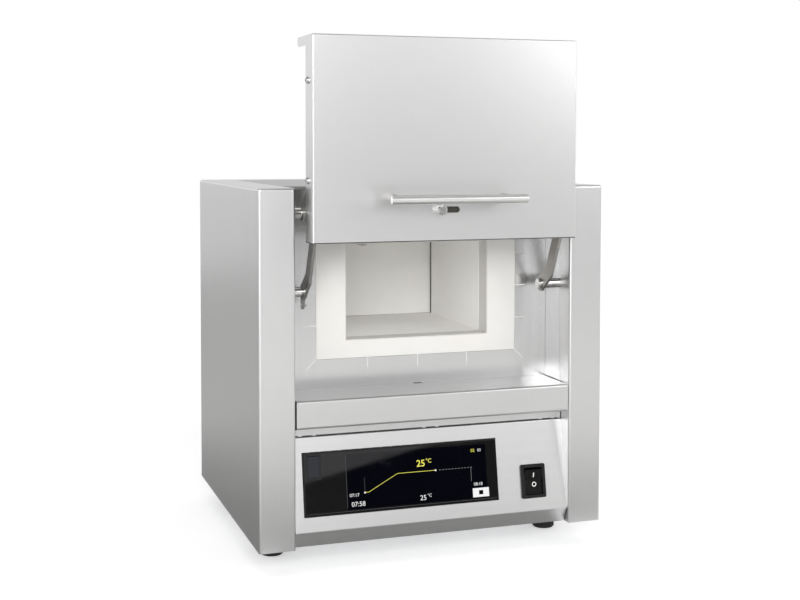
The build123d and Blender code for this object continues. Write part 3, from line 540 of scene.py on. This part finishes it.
class ControlSettings(bpy.types.PropertyGroup):
    """Display, switch and port."""

    glass: tone_property("Glass", "Colour behind the display glass", (0.007, 0.007, 0.0072))
    field: tone_property("Field", "Colour of the dark screen field", (0.0012, 0.0014, 0.003))
    ink: tone_property("Curve", "Colour of the curve and the main reading", (0.80, 0.76, 0.10))
    white: tone_property("Figures", "Colour of the white figures", (0.80, 0.80, 0.80))
    dim: tone_property("Dim lines", "Colour of the grey lines", (0.22, 0.22, 0.23))
    plastic: tone_property("Plastic", "Colour of the switch and the housing", (0.008, 0.008, 0.009))
    print_lift: length_property("Print thickness", "Thickness of printed and lit marks", 0.06)


class TrimSettings(bpy.types.PropertyGroup):
    """Lip over the control panel, its turned edge and the fillers beside the beam."""

    lip_thick: length_property("Lip thickness", "Sheet thickness of the lip", 0.8)
    lip_set: length_property("Lip set back", "From the top of the leaning face back to the lip", 1.4)
    lip_gap: length_property("Lip gap", "Between the top of the lip and the beam", 0.3)
    slit_high: length_property("Slit height", "Height of the relief slits", 0.9)
    slit_dot: length_property("Slit dot", "Length of the end slits", 3.5)
    slit_dash: length_property("Slit dash", "Length of the short slits", 11.0)
    slit_run: length_property("Slit run", "Length of the long slits", 118.0)
    filler_set: length_property("Filler set back", "From the beam's face back to its end fillers", 0.8)
    filler_deep: length_property("Filler depth", "Depth of the fillers beside the beam", 9.0)
    edge_deep: length_property("Edge depth", "Depth of the panel's turned edge", 8.0)


class StageSettings(bpy.types.PropertyGroup):
    """Camera, floor and light."""

    eye: bpy.props.FloatVectorProperty(name="Camera place", description="Where the camera stands",
                                       subtype="TRANSLATION", unit="LENGTH", size=3,
                                       default=(-0.475, -1.41525, 0.444))
    heading: bpy.props.FloatProperty(name="Heading", description="Turn of the view from +Y towards +X",
                                     subtype="ANGLE", default=radians(18.72))
    dip: bpy.props.FloatProperty(name="Dip", description="Downward tilt of the view",
                                 subtype="ANGLE", default=radians(2.52))
    roll: bpy.props.FloatProperty(name="Roll", description="Roll of the camera",
                                  subtype="ANGLE", default=radians(-0.05))
    focal: bpy.props.FloatProperty(name="Focal length", description="Focal length in millimetres",
                                   default=58.4)
    rise: bpy.props.FloatProperty(name="Vertical shift", description="Shift of the lens", default=-0.125)
    floor: tone_property("Floor", "Colour of the floor", (0.86, 0.86, 0.86))
    glow: share_property("Floor glow", "Brightness added to the floor round the object", 0.38)
    far_glow: share_property("Far floor glow", "Brightness added to the floor far away", 0.58)
    top: power_property("Top light", "Power of the wide overhead lamp", 13.0)
    front: power_property("Front light", "Power of the lamp that lights the back of the chamber", 22.0)
    left: power_property("Left light", "Power of the lamp that lights the chamber's right wall", 9.0)
    right: power_property("Right light", "Power of the lamp that lights the chamber's left wall", 10.0)
    left_tone: share_property("Left tone", "Brightness of the room on the left", 1.4, 2.0)
    right_tone: share_property("Right tone", "Brightness of the room on the right", 1.0, 2.0)
    front_tone: share_property("Front tone", "Brightness of the room in front", 1.17, 2.0)
    high_tone: share_property("High tone", "Brightness of the room overhead", 0.33, 2.0)
    window: share_property("Window", "Brightness of the dark window that the display mirrors", 0.02, 2.0)
    left_card: tone_property("Left card", "Colour of the card that the left side mirrors", (0.74, 0.74, 0.73))
    front_card: tone_property("Front card", "Colour of the cards that the front mirrors", (0.99, 0.985, 0.97))


SETTINGS = {"furnace_sheet": SheetSettings, "furnace_ceramic": CeramicSettings,
            "furnace_control": ControlSettings, "furnace_trim": TrimSettings, "furnace_stage": StageSettings}


# --------------------------------------------------------------------- operators
class FURNACE_OT_casing(bpy.types.Operator):
    """Textured stainless sheet of the covers, the lid, the beam and the control panel"""

    bl_idname = "furnace.casing"
    bl_label = "Casing"

    def execute(self, context):
        sheet = context.scene.furnace_sheet
        skin = textured_sheet("textured_stainless", sheet)
        dress(skin, *pair("side_cover"), "rear_cover", "front_beam", "control_panel")
        # Painted shade: the lid is the casing sheet dimmed to 0.62, a darker copy for the top.
        dress(textured_sheet("lid_stainless", sheet, dim=0.62, duller=0.03), "top_cover")
        tray = rolled_sheet("galvanised_tray", (0.55, 0.56, 0.57), 0.42, (60.0, 6.0, 60.0), (8.0, 2.0, 8.0))
        dress(tray, "base_tray", "inner_casing")
        return {"FINISHED"}


class FURNACE_OT_recess(bpy.types.Operator):
    """Smooth sheet of the recess walls and the plate round the collar"""

    bl_idname = "furnace.recess"
    bl_label = "Door recess"

    def execute(self, context):
        sheet = context.scene.furnace_sheet
        plate = rolled_sheet("recess_sheet", sheet.recess, 0.24, (300.0, 300.0, 2.0), (20.0, 20.0, 1.0),
                             contrast=0.015, depth=0.0, swing=0.004)
        dress(plate, *pair("hinge_plate"), "front_plate")
        return {"FINISHED"}


class FURNACE_OT_door(bpy.types.Operator):
    """Door skin, tray, rails and insulation plug"""

    bl_idname = "furnace.door"
    bl_label = "Door"

    def execute(self, context):
        sheet = context.scene.furnace_sheet
        ceramic = context.scene.furnace_ceramic
        skin = textured_sheet("door_stainless", sheet, rim=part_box("door_panel")[0][2])
        dress(skin, "door_panel")
        inner = rolled_sheet("inner_sheet", sheet.recess, 0.34, (4.0, 500.0, 500.0), (1.0, 40.0, 40.0))
        dress(inner, "door_tray", "door_rails", *pair("door_bracket"))
        # Painted shade: the air slider and its guide are darkened to stand for the shade inside the slot.
        dark = rolled_sheet("blued_slider", (0.075, 0.072, 0.062), 0.45, (4.0, 400.0, 400.0),
                            (1.0, 40.0, 40.0), contrast=0.2)
        dress(dark, "slider_guide", "air_slider")
        plug = fired_ceramic("plug_fibre", ceramic.collar, ceramic.stain, 0.3, 3 * ceramic.depth, 260.0)
        dress(plug, "door_plug")
        return {"FINISHED"}


class FURNACE_OT_linkage(bpy.types.Operator):
    """Lift arms with their bolts, spacers and pin"""

    bl_idname = "furnace.linkage"
    bl_label = "Lift arms"

    def execute(self, context):
        sheet = context.scene.furnace_sheet
        cut = rolled_sheet("arm_steel", sheet.arms, 0.38, (500.0, 8.0, 120.0), (30.0, 2.0, 12.0), 0.08)
        dress(cut, *pair("lower_arm"), *pair("upper_arm"))
        bright = polished_bar("bolt_steel", sheet.bright, 0.18, (500.0, 30.0, 30.0), (60.0, 9.0, 9.0))
        dress(bright, "pivot_bolts", "pivot_spacers", "tail_pin", "flank_screws", "cover_screws")
        return {"FINISHED"}


class FURNACE_OT_handle(bpy.types.Operator):
    """Drawn steel grip, its stems and the slider knob"""

    bl_idname = "furnace.handle"
    bl_label = "Handle"

    def execute(self, context):
        sheet = context.scene.furnace_sheet
        grip = polished_bar("grip_steel", sheet.bright, 0.3, (6.0, 700.0, 700.0), (2.0, 90.0, 90.0))
        dress(grip, "handle_bar")
        stem = rolled_sheet("stem_steel", sheet.arms, 0.5, (500.0, 30.0, 500.0), (60.0, 9.0, 60.0), 0.05)
        dress(stem, "handle_stems")
        knob = polished_bar("knob_steel", sheet.bright, 0.1, (300.0, 300.0, 40.0), (60.0, 60.0, 9.0))
        dress(knob, "slider_knob")
        return {"FINISHED"}


class FURNACE_OT_chamber(bpy.types.Operator):
    """Ceramic collar, heated slabs and fibre boards"""

    bl_idname = "furnace.chamber"
    bl_label = "Chamber"

    def execute(self, context):
        ceramic = context.scene.furnace_ceramic
        ring = fired_ceramic("collar_ceramic", ceramic.collar, ceramic.stain, 0.1, ceramic.depth)
        dress(ring, "collar")
        seal = fired_ceramic("seal_fibre", ceramic.collar, ceramic.stain, 0.0, ceramic.depth, 900.0)
        dress(seal, "slit_seals")
        wall = fired_ceramic("chamber_ceramic", ceramic.chamber, ceramic.stain, 0.06, 2 * ceramic.depth)
        dress(wall, "muffle_floor", "muffle_roof", "muffle_back", *pair("heating_plate"))
        board = fired_ceramic("fibre_board", ceramic.collar, ceramic.stain, 0.2, 3 * ceramic.depth, 240.0)
        dress(board, *(f"insulation_{side}" for side in ("floor", "roof", "left", "right", "back")))
        return {"FINISHED"}


class FURNACE_OT_controls(bpy.types.Operator):
    """Display glass, housing, USB flap and mains switch"""

    bl_idname = "furnace.controls"
    bl_label = "Controls"

    def execute(self, context):
        control = context.scene.furnace_control
        dress(cover_glass("display_cover", control.glass), "display_glass")
        housing = moulded_plastic("housing_plastic", control.plastic, 0.5, 2500.0, 0.00002)
        dress(housing, "controller_housing", "relay")
        flap = moulded_plastic("flap_plastic", (0.010, 0.012, 0.017), 0.42, 3000.0, 0.00002)
        dress(flap, "usb_flap")
        frame_plastic = moulded_plastic("bezel_plastic", (0.006, 0.0058, 0.0058), 0.3, 1800.0, 0.00004)
        dress(frame_plastic, "switch_housing")
        key = moulded_plastic("rocker_plastic", (0.004, 0.0038, 0.0038), 0.16, 1200.0, 0.00001)
        dress(key, "rocker")
        socket = polished_bar("socket_nickel", (0.7, 0.69, 0.66), 0.2, (300.0, 300.0, 300.0),
                              (40.0, 40.0, 40.0))
        dress(socket, "usb_socket")
        terminal = moulded_plastic("terminal_plastic", (0.45, 0.45, 0.42), 0.5, 1500.0, 0.00003,
                                   edge=(0.6, 0.6, 0.58))
        dress(terminal, "terminal_block")
        return {"FINISHED"}


class FURNACE_OT_rear(bpy.types.Operator):
    """Rear fittings: gland, flue and thermocouple"""

    bl_idname = "furnace.rear"
    bl_label = "Rear fittings"

    def execute(self, context):
        gland = moulded_plastic("gland_plastic", (0.03, 0.03, 0.032), 0.45, 1500.0, 0.00003)
        dress(gland, "cable_gland")
        tube = rolled_sheet("flue_steel", (0.55, 0.54, 0.52), 0.3, (60.0, 500.0, 60.0),
                            (9.0, 60.0, 9.0), contrast=0.08)
        dress(tube, "flue_tube", "thermocouple")
        return {"FINISHED"}


class FURNACE_OT_feet(bpy.types.Operator):
    """Moulded rubber feet"""

    bl_idname = "furnace.feet"
    bl_label = "Feet"

    def execute(self, context):
        rubber = moulded_plastic("foot_rubber", (0.012, 0.012, 0.012), 0.6, 900.0, 0.00008)
        dress(rubber, "feet")
        return {"FINISHED"}


class FURNACE_OT_trim(bpy.types.Operator):
    """Lip over the control panel, and dark strips of painted shade in the chamber's joints, in the gap beside
    the beam and in the screw sockets
    """

    bl_idname = "furnace.trim"
    bl_label = "Trim and joints"

    def execute(self, context):
        sheet = context.scene.furnace_sheet
        skin = textured_sheet("lip_stainless", sheet)
        # Painted shade: matt black for the gap beside the beam and for the screw sockets.
        shade_black = moulded_plastic("seal_foam", (0.012, 0.012, 0.012), 0.8, 900.0, 0.0001)
        # Painted shade: dark fill for the open joints of the chamber.
        shadow = fired_ceramic("joint_soot", (0.13, 0.12, 0.11), (0.05, 0.045, 0.04), 0.6, 0.00005, 900.0)
        trim = context.scene.furnace_trim
        self.lip(trim, skin)
        beam_low, beam_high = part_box("front_beam")
        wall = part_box("right_side_cover")[0][0]
        front = beam_low[1] + trim.filler_set
        back = front + trim.filler_deep
        # Painted shadow: a dark strip in the gap between the beam and the left column.
        self.strip("beam_seal", (-wall, front, beam_low[2]), (beam_low[0], back, beam_high[2]),
                   shade_black, "rubber_black")
        self.strip("beam_end", (beam_high[0], front, beam_low[2]), (wall, back, beam_high[2]),
                   skin, "stainless")
        self.edge(trim, skin, wall)
        self.joints(shadow)
        self.sockets(shade_black)
        return {"FINISHED"}

    def strip(self, name, low, high, material, slot):
        """Straight strip between two corners, with softened edges."""
        work = bmesh.new()
        bmesh.ops.create_cube(work, size=1.0)
        for vertex in work.verts:
            vertex.co = Vector([a + (b - a) * (c + 0.5) for a, b, c in zip(low, high, vertex.co)])
        softness = 0.15 * min(b - a for a, b in zip(low, high))
        bmesh.ops.bevel(work, geom=work.edges[:], offset=softness, segments=2, affect="EDGES")
        piece(name, finished_mesh(name, work), "furnace", material)

    def lip(self, trim, skin):
        """Upright lip between the control panel and the beam, slit along its foot."""
        face = Face("control_panel")
        low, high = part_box("control_panel")
        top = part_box("front_beam")[0][2] - trim.lip_gap
        foot = Vector((low[0], face.at(0.0, face.height).y + trim.lip_set, high[2]))
        wide, tall = high[0] - low[0], top - foot.z
        spans = [trim.slit_dot, trim.slit_dash, trim.slit_run, trim.slit_dash, trim.slit_run,
                 trim.slit_dash, trim.slit_dot]
        bridge = (wide - sum(spans)) / (len(spans) + 1)
        outline, x = [(0.0, tall), (0.0, 0.0)], bridge
        for span in spans:
            outline += [(x, 0.0), (x, trim.slit_high), (x + span, trim.slit_high), (x + span, 0.0)]
            x += span + bridge
        outline += [(wide, 0.0), (wide, tall)]
        mesh = solid_outline([outline], trim.lip_thick)
        upright = Matrix(((1, 0, 0), (0, 0, -1), (0, 1, 0))).to_4x4()
        mesh.transform(Matrix.Translation(foot + Vector((0, trim.lip_thick, 0))) @ upright)
        piece("panel_lip", mesh, "furnace", skin)

    def edge(self, trim, skin, wall):
        """Turned edge of the control panel beside the right-hand column."""
        face = Face("control_panel")
        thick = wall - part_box("control_panel")[1][0] - HAIR
        mesh = solid_outline([bar(face.width, 0.0, face.width + thick, face.height)], trim.edge_deep)
        mesh.transform(face.matrix(0.0, 0.0, -trim.edge_deep))
        piece("panel_edge", mesh, "furnace", skin)

    def joints(self, shadow):
        """Dark strips in the open joints between the back slab, the heating plates and the floor slab,
        painted shade of the gaps.
        """
        plate_low, plate_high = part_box("right_heating_plate")
        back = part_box("muffle_back")[0][1]
        inner, y0, y1 = plate_low[0], plate_high[1] + 4 * HAIR, back - HAIR
        for side, name in ((1, "right"), (-1, "left")):
            near, far = side * (inner - 2 * HAIR), side * (inner + 2.0 * MM)
            low = (min(near, far), y0, plate_low[2])
            self.strip(f"{name}_back_joint", low, (max(near, far), y1, plate_high[2]), shadow, "fibre_board")
        self.strip("floor_joint", (-inner, back - 7 * HAIR, plate_low[2]),
                   (inner, back - HAIR, plate_low[2] + 5 * HAIR), shadow, "fibre_board")

    def sockets(self, dark):
        """Hexagon sockets in the heads of the flank screws, laid on as flat dark inlays of painted shade."""
        low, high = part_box("flank_screws")
        middle = (low[1] + high[1]) / 2
        rise = (high[1] - low[1]) / 2
        for side in (-1, 1):
            for z, level in ((low[2] + rise, "low"), (high[2] - rise, "high")):
                hexagon = disc(0.0, 0.0, 0.42 * rise, 6)
                mesh = solid_outline([hexagon], HAIR)
                across = Matrix(((0, 0, side), (side, 0, 0), (0, 1, 0))).to_4x4()
                mesh.transform(Matrix.Translation((side * (high[0] - 0.03 * MM), middle, z)) @ across)
                name = f"{'right' if side > 0 else 'left'}_{level}_socket"
                piece(name, mesh, "door", dark)


class FURNACE_OT_display(bpy.types.Operator):
    """Lit field, curve and readings on the display"""

    bl_idname = "furnace.display"
    bl_label = "Display readings"

    def execute(self, context):
        control = context.scene.furnace_control
        face = Face("display_glass")
        thin = control.print_lift
        field = cover_glass("screen_field", control.field)
        # Painted shade: a matt black border where the glass's bevelled edge shows dark.
        rim = moulded_plastic("border_print", (0.002, 0.002, 0.002), 0.5, 1500.0, 0.000002,
                              edge=(0.003, 0.003, 0.003))
        ink = lit_ink("curve_ink", control.ink)
        white = lit_ink("figure_ink", control.white)
        dim = lit_ink("dim_ink", control.dim)
        shade = lit_ink("shade_ink", [0.25 * tone for tone in control.dim])

        def drawn(name, outlines, material, lift=thin):
            mesh = solid_outline([[(x * MM, y * MM) for x, y in o] for o in outlines], thin)
            mesh.transform(face.matrix(0.0, 0.0, lift))
            return piece(name, mesh, "furnace", material)

        def written(name, text, x, y, size, material, weight=0.0):
            mesh = lettering(text, size * MM, thin, weight * MM)
            mesh.transform(face.matrix(x * MM, y * MM, 1.5 * thin))
            return piece(name, mesh, "furnace", material)

        wide, tall = face.width / MM, face.height / MM
        rims = [bar(0.4, 0.4, 1.9, tall - 0.4), bar(wide - 0.9, 0.4, wide - 0.4, tall - 0.4),
                bar(1.9, tall - 1.9, wide - 0.9, tall - 0.4), bar(1.9, 0.4, wide - 0.9, 0.9)]
        drawn("glass_border", rims, rim, 0.0)
        drawn("screen_area", [bar(47.0, 4.0, 204.5, 61.0)], field, 0.0)
        drawn("screen_edge", [bar(2.6, 2.4, wide - 1.6, 2.8)], shade, 0.0)
        drawn("screen_divider", [bar(46.5, 6.0, 46.9, 60.0)], shade, 0.0)
        start, knee, plateau, end = (66.2, 20.4), (101.8, 36.6), (104.0, 37.2), (146.0, 37.2)
        curve = [start, (70.5, 20.6), knee, plateau, end]
        drawn("heating_curve", stroke(curve, 0.45), ink)
        drawn("start_stem", [bar(66.0, 22.0, 66.3, 36.0)], shade)
        drawn("end_stem", [bar(186.3, 22.5, 186.6, 37.0)], dim)
        drawn("curve_dots", [disc(*start, 1.0), disc(*end, 1.0)], white)
        drawn("forecast_dashes", [bar(150.0 + 3.6 * i, 36.9, 151.9 + 3.6 * i, 37.4) for i in range(11)], dim)
        drawn("stop_key", [bar(187.3, 5.0, 206.0, 14.6)], white)
        drawn("stop_mark", [bar(194.4, 7.6, 199.2, 12.0)], field, 2 * thin)
        written("main_reading", "25", 129.6, 45.4, 9.8, ink, 0.12)
        written("main_unit", "°C", 138.6, 47.6, 6.0, ink, 0.05)
        written("room_reading", "25", 130.6, 9.4, 7.4, white)
        written("room_unit", "°C", 137.8, 11.4, 4.6, white)
        written("clock_reading", "07:58", 58.6, 9.0, 6.9, white)
        written("start_time", "07:17", 54.6, 18.4, 4.8, white)
        written("end_time", "08:18", 194.0, 18.8, 4.6, white)
        written("page_now", "02", 189.6, 54.6, 4.6, ink)
        written("page_last", "03", 197.2, 54.6, 4.2, white)
        return {"FINISHED"}


class FURNACE_OT_switch_marks(bpy.types.Operator):
    """White bar and ring on the rocker"""

    bl_idname = "furnace.switch_marks"
    bl_label = "Switch marks"

    def execute(self, context):
        control = context.scene.furnace_control
        paint = moulded_plastic("mark_paint", (0.72, 0.72, 0.70), 0.45, 2000.0, 0.000004,
                                edge=(0.8, 0.8, 0.8))
        thin = control.print_lift
        upper = Face("rocker", lambda normal: normal.y < -0.6, pick=1)
        lower = Face("rocker", lambda normal: normal.y < -0.6, pick=0)
        mesh = solid_outline([bar(-0.6 * MM, -2.6 * MM, 0.6 * MM, 2.6 * MM)], thin)
        mesh.transform(upper.matrix(upper.width / 2, 0.54 * upper.height, 0.0))
        piece("on_mark", mesh, "rocker", paint)
        hole, rim, count = 1.7 * MM, 2.6 * MM, 28
        work = bmesh.new()
        rings = [[work.verts.new((x, y, z)) for x, y in disc(0.0, 0.0, radius, count)]
                 for radius, z in ((hole, 0.0), (rim, 0.0), (rim, thin), (hole, thin))]
        for inner, outer in zip(rings, rings[1:] + rings[:1]):
            for i in range(count):
                j = (i + 1) % count
                work.faces.new((inner[i], inner[j], outer[j], outer[i]))
        bmesh.ops.recalc_face_normals(work, faces=work.faces)
        mesh = finished_mesh("ring", work)
        mesh.transform(lower.matrix(lower.width / 2 + 1.2 * MM, 0.76 * lower.height, 0.0))
        piece("off_mark", mesh, "rocker", paint)
        return {"FINISHED"}


class FURNACE_OT_stage(bpy.types.Operator):
    """Pale floor, soft light and the camera"""

    bl_idname = "furnace.stage"
    bl_label = "Stage"

    def execute(self, context):
        stage = context.scene.furnace_stage
        context.scene.view_settings.view_transform = "Standard"
        face = Face("display_glass")
        eye = Vector(stage.eye)
        behind_glass = eye - 2 * (eye - face.corner).dot(face.out) * face.out

        def mirrored(x, y, distance):
            spot = face.at(x * MM, y * MM)
            return spot + (spot - behind_glass).normalized() * distance

        self.floor(stage)
        self.card("left_card", (-2.4, -0.5), (-0.2, 3.0), stage.left_card)
        self.card("skirt_card", (-0.16, -0.2), (0.16, -0.1), stage.front_card)
        self.card("front_card", (-0.5, -1.25), (1.3, -0.21), stage.front_card)
        left, right = mirrored(17.0, 38.0, 3.0), mirrored(150.0, 66.0, 3.0)
        above = (right - left).cross(face.at(0.08, 0.05) - left).normalized()
        self.room(context, stage, mirrored(108.0, 33.0, 1.0) - face.at(0.108, 0.033), above)
        mouth = (0.0, 0.0, 0.28)
        lamps = (("top", (0.1, 0.5, 2.4), (0.1, 0.5, 0.0), (2.6, 2.6)),
                 ("front", (-0.6, -2.2, 1.05), mouth, (1.1, 0.8)),
                 ("left", (-1.3, -1.8, 0.6), mouth, (1.4, 1.2)),
                 ("right", (1.3, -1.5, 1.05), mouth, (0.8, 0.8)))
        for side, place, aim, size in lamps:
            self.lamp(f"{side}_lamp", place, aim, size, getattr(stage, side))
        self.camera(context, stage)
        return {"FINISHED"}

    def floor(self, stage):
        """Wide floor that keeps the object's shadow, brightest behind and beside the object."""
        work = bmesh.new()
        bmesh.ops.create_circle(work, cap_ends=True, segments=64, radius=30.0)
        mesh = finished_mesh("studio_floor", work)
        placed("studio_floor", mesh)
        finish = Finish("studio_floor", Roughness=0.9, Specular_IOR_Level=0.1)
        net = finish.net
        soft = net.noise(net.place(), 1.5, 3.0)
        finish.colour(toned(finish, stage.floor, net.span(soft, 0.3, 0.7, 0.99, 1.01, smooth=False)))
        place = net.add("ShaderNodeSeparateXYZ", {0: net.place()}).outputs
        beside = net.span(place[0], -1.0, -0.45, 0.5, 1.0)
        forward = net.along(net.place(), (-0.34, -1.0, 0.0))
        near = net.span(forward, 0.28, 0.6, 1.0, 0.0)
        path = net.add("ShaderNodeLightPath").outputs
        seen = net.maths("ADD", net.maths("ADD", path["Is Camera Ray"], path["Is Glossy Ray"]),
                         path["Is Transmission Ray"], clamp=True)
        glowing = net.span(net.length(net.place()), 0.6, 2.6, stage.glow, stage.far_glow)
        share = net.maths("MULTIPLY", net.maths("MULTIPLY", beside, near), glowing)
        glow = net.add("ShaderNodeEmission", {"Color": (1.0, 1.0, 1.0, 1.0),
                                              "Strength": net.maths("MULTIPLY", seen, share)})
        total = net.add("ShaderNodeAddShader", {0: finish.shader.outputs[0], 1: glow.outputs[0]})
        net.put(finish.material.node_tree.nodes["Material Output"].inputs["Surface"], total.outputs[0])
        mesh.materials.append(finish.material)

    def card(self, name, low, high, colour):
        """Card on the floor that only reflections show, darker towards the object."""
        mesh = solid_outline([bar(*low, *high)], 0.1 * MM)
        thing = placed(name, mesh)
        thing.location.z = 0.5 * MM
        thing.visible_camera = thing.visible_diffuse = thing.visible_shadow = False
        finish = Finish(name, Roughness=0.9, Specular_IOR_Level=0.1)
        net = finish.net
        soft = net.noise(net.place(), 4.0, 3.0)
        fade = net.span(net.length(net.place()), 0.22, 0.8, 0.42, 1.0)
        finish.colour(toned(finish, colour, net.span(soft, 0.3, 0.7, 0.95, 1.05, smooth=False), fade))
        mesh.materials.append(finish.material)

    def room(self, context, stage, aim, above):
        """Soft room light: brightest on the left, white behind and darker overhead.

        A dark window in front fills the display's reflection below a slanting line.
        """
        world = bpy.data.worlds.new("studio_room")
        world.use_nodes = True
        context.scene.world = world
        net = Net(world.node_tree)
        way = net.add("ShaderNodeTexCoord").outputs["Generated"]
        parts = net.add("ShaderNodeSeparateXYZ", {0: way}).outputs

        def mixed(factor, first, second):
            node = net.add("ShaderNodeMix", {0: factor, 2: first, 3: second}, data_type="FLOAT")
            return node.outputs[0]

        back = mixed(net.span(parts[0], -0.75, 0.0), stage.left_tone, stage.right_tone)
        fore = mixed(net.span(parts[0], -0.35, 0.25), stage.left_tone, stage.front_tone)
        fore = mixed(net.span(parts[2], 0.2, 0.6), fore, stage.high_tone)
        tone = mixed(net.span(parts[1], -0.25, 0.25), fore, back)
        tone = mixed(net.span(parts[2], 0.3, 0.6), tone, stage.high_tone)
        ahead = aim.normalized()
        across = ahead.cross(Vector((0, 0, 1))).normalized()
        upward = across.cross(ahead)
        depth = net.along(way, ahead)
        sides = net.maths("ABSOLUTE", net.maths("DIVIDE", net.along(way, across), depth))
        rise = net.maths("ABSOLUTE", net.maths("DIVIDE", net.along(way, upward), depth))
        inside = net.maths("MULTIPLY", net.span(sides, 0.15, 0.10), net.span(rise, 0.085, 0.045))
        inside = net.maths("MULTIPLY", inside, net.maths("GREATER_THAN", depth, 0.0))
        inside = net.maths("MULTIPLY", inside, net.span(net.along(way, above), 0.002, -0.002))
        tone = mixed(inside, tone, stage.window)
        background = world.node_tree.nodes["Background"]
        net.put(background.inputs["Strength"], tone)
        background.inputs["Color"].default_value = (1.0, 1.0, 1.0, 1.0)

    def lamp(self, name, place, aim, size, power):
        """Large lamp aimed at a point."""
        data = bpy.data.lights.new(name, "AREA")
        data.shape = "RECTANGLE"
        data.size, data.size_y = size
        data.energy = power
        thing = placed(name, data)
        thing.location = place
        thing.rotation_euler = (Vector(aim) - Vector(place)).to_track_quat("-Z", "Y").to_euler()

    def camera(self, context, stage):
        """Camera at the solved viewpoint."""
        data = bpy.data.cameras.new("viewpoint")
        data.sensor_width = 36.0
        data.lens = stage.focal
        data.shift_y = stage.rise
        data.clip_start = 0.01
        thing = placed("viewpoint", data)
        thing.location = stage.eye
        thing.rotation_euler = (pi / 2 - stage.dip, stage.roll, -stage.heading)
        context.scene.camera = thing


OPERATORS = (FURNACE_OT_casing, FURNACE_OT_recess, FURNACE_OT_door, FURNACE_OT_linkage,
             FURNACE_OT_handle, FURNACE_OT_chamber, FURNACE_OT_controls, FURNACE_OT_rear,
             FURNACE_OT_feet, FURNACE_OT_trim, FURNACE_OT_display, FURNACE_OT_switch_marks, FURNACE_OT_stage)


class FURNACE_PT_panel(bpy.types.Panel):
    """Buttons for each group of pieces, and their settings"""

    bl_idname = "FURNACE_PT_panel"
    bl_label = "Muffle furnace"
    bl_space_type = "VIEW_3D"
    bl_region_type = "UI"
    bl_category = "Furnace"

    def draw(self, context):
        for operator in OPERATORS:
            self.layout.operator(operator.bl_idname)
        for name, settings in SETTINGS.items():
            box = self.layout.box()
            for field in settings.__annotations__:
                box.prop(getattr(context.scene, name), field)


def register():
    for settings in SETTINGS.values():
        bpy.utils.register_class(settings)
    for name, settings in SETTINGS.items():
        setattr(bpy.types.Scene, name, bpy.props.PointerProperty(type=settings))
    for kind in (*OPERATORS, FURNACE_PT_panel):
        bpy.utils.register_class(kind)


def unregister():
    for kind in (FURNACE_PT_panel, *reversed(OPERATORS)):
        bpy.utils.unregister_class(kind)
    for name, settings in SETTINGS.items():
        delattr(bpy.types.Scene, name)
        bpy.utils.unregister_class(settings)


def main():
    """Build the looks in order."""
    register()
    for operator in OPERATORS:
        module, call = operator.bl_idname.split(".")
        getattr(getattr(bpy.ops, module), call)()


if __name__ == "__main__":
    main()
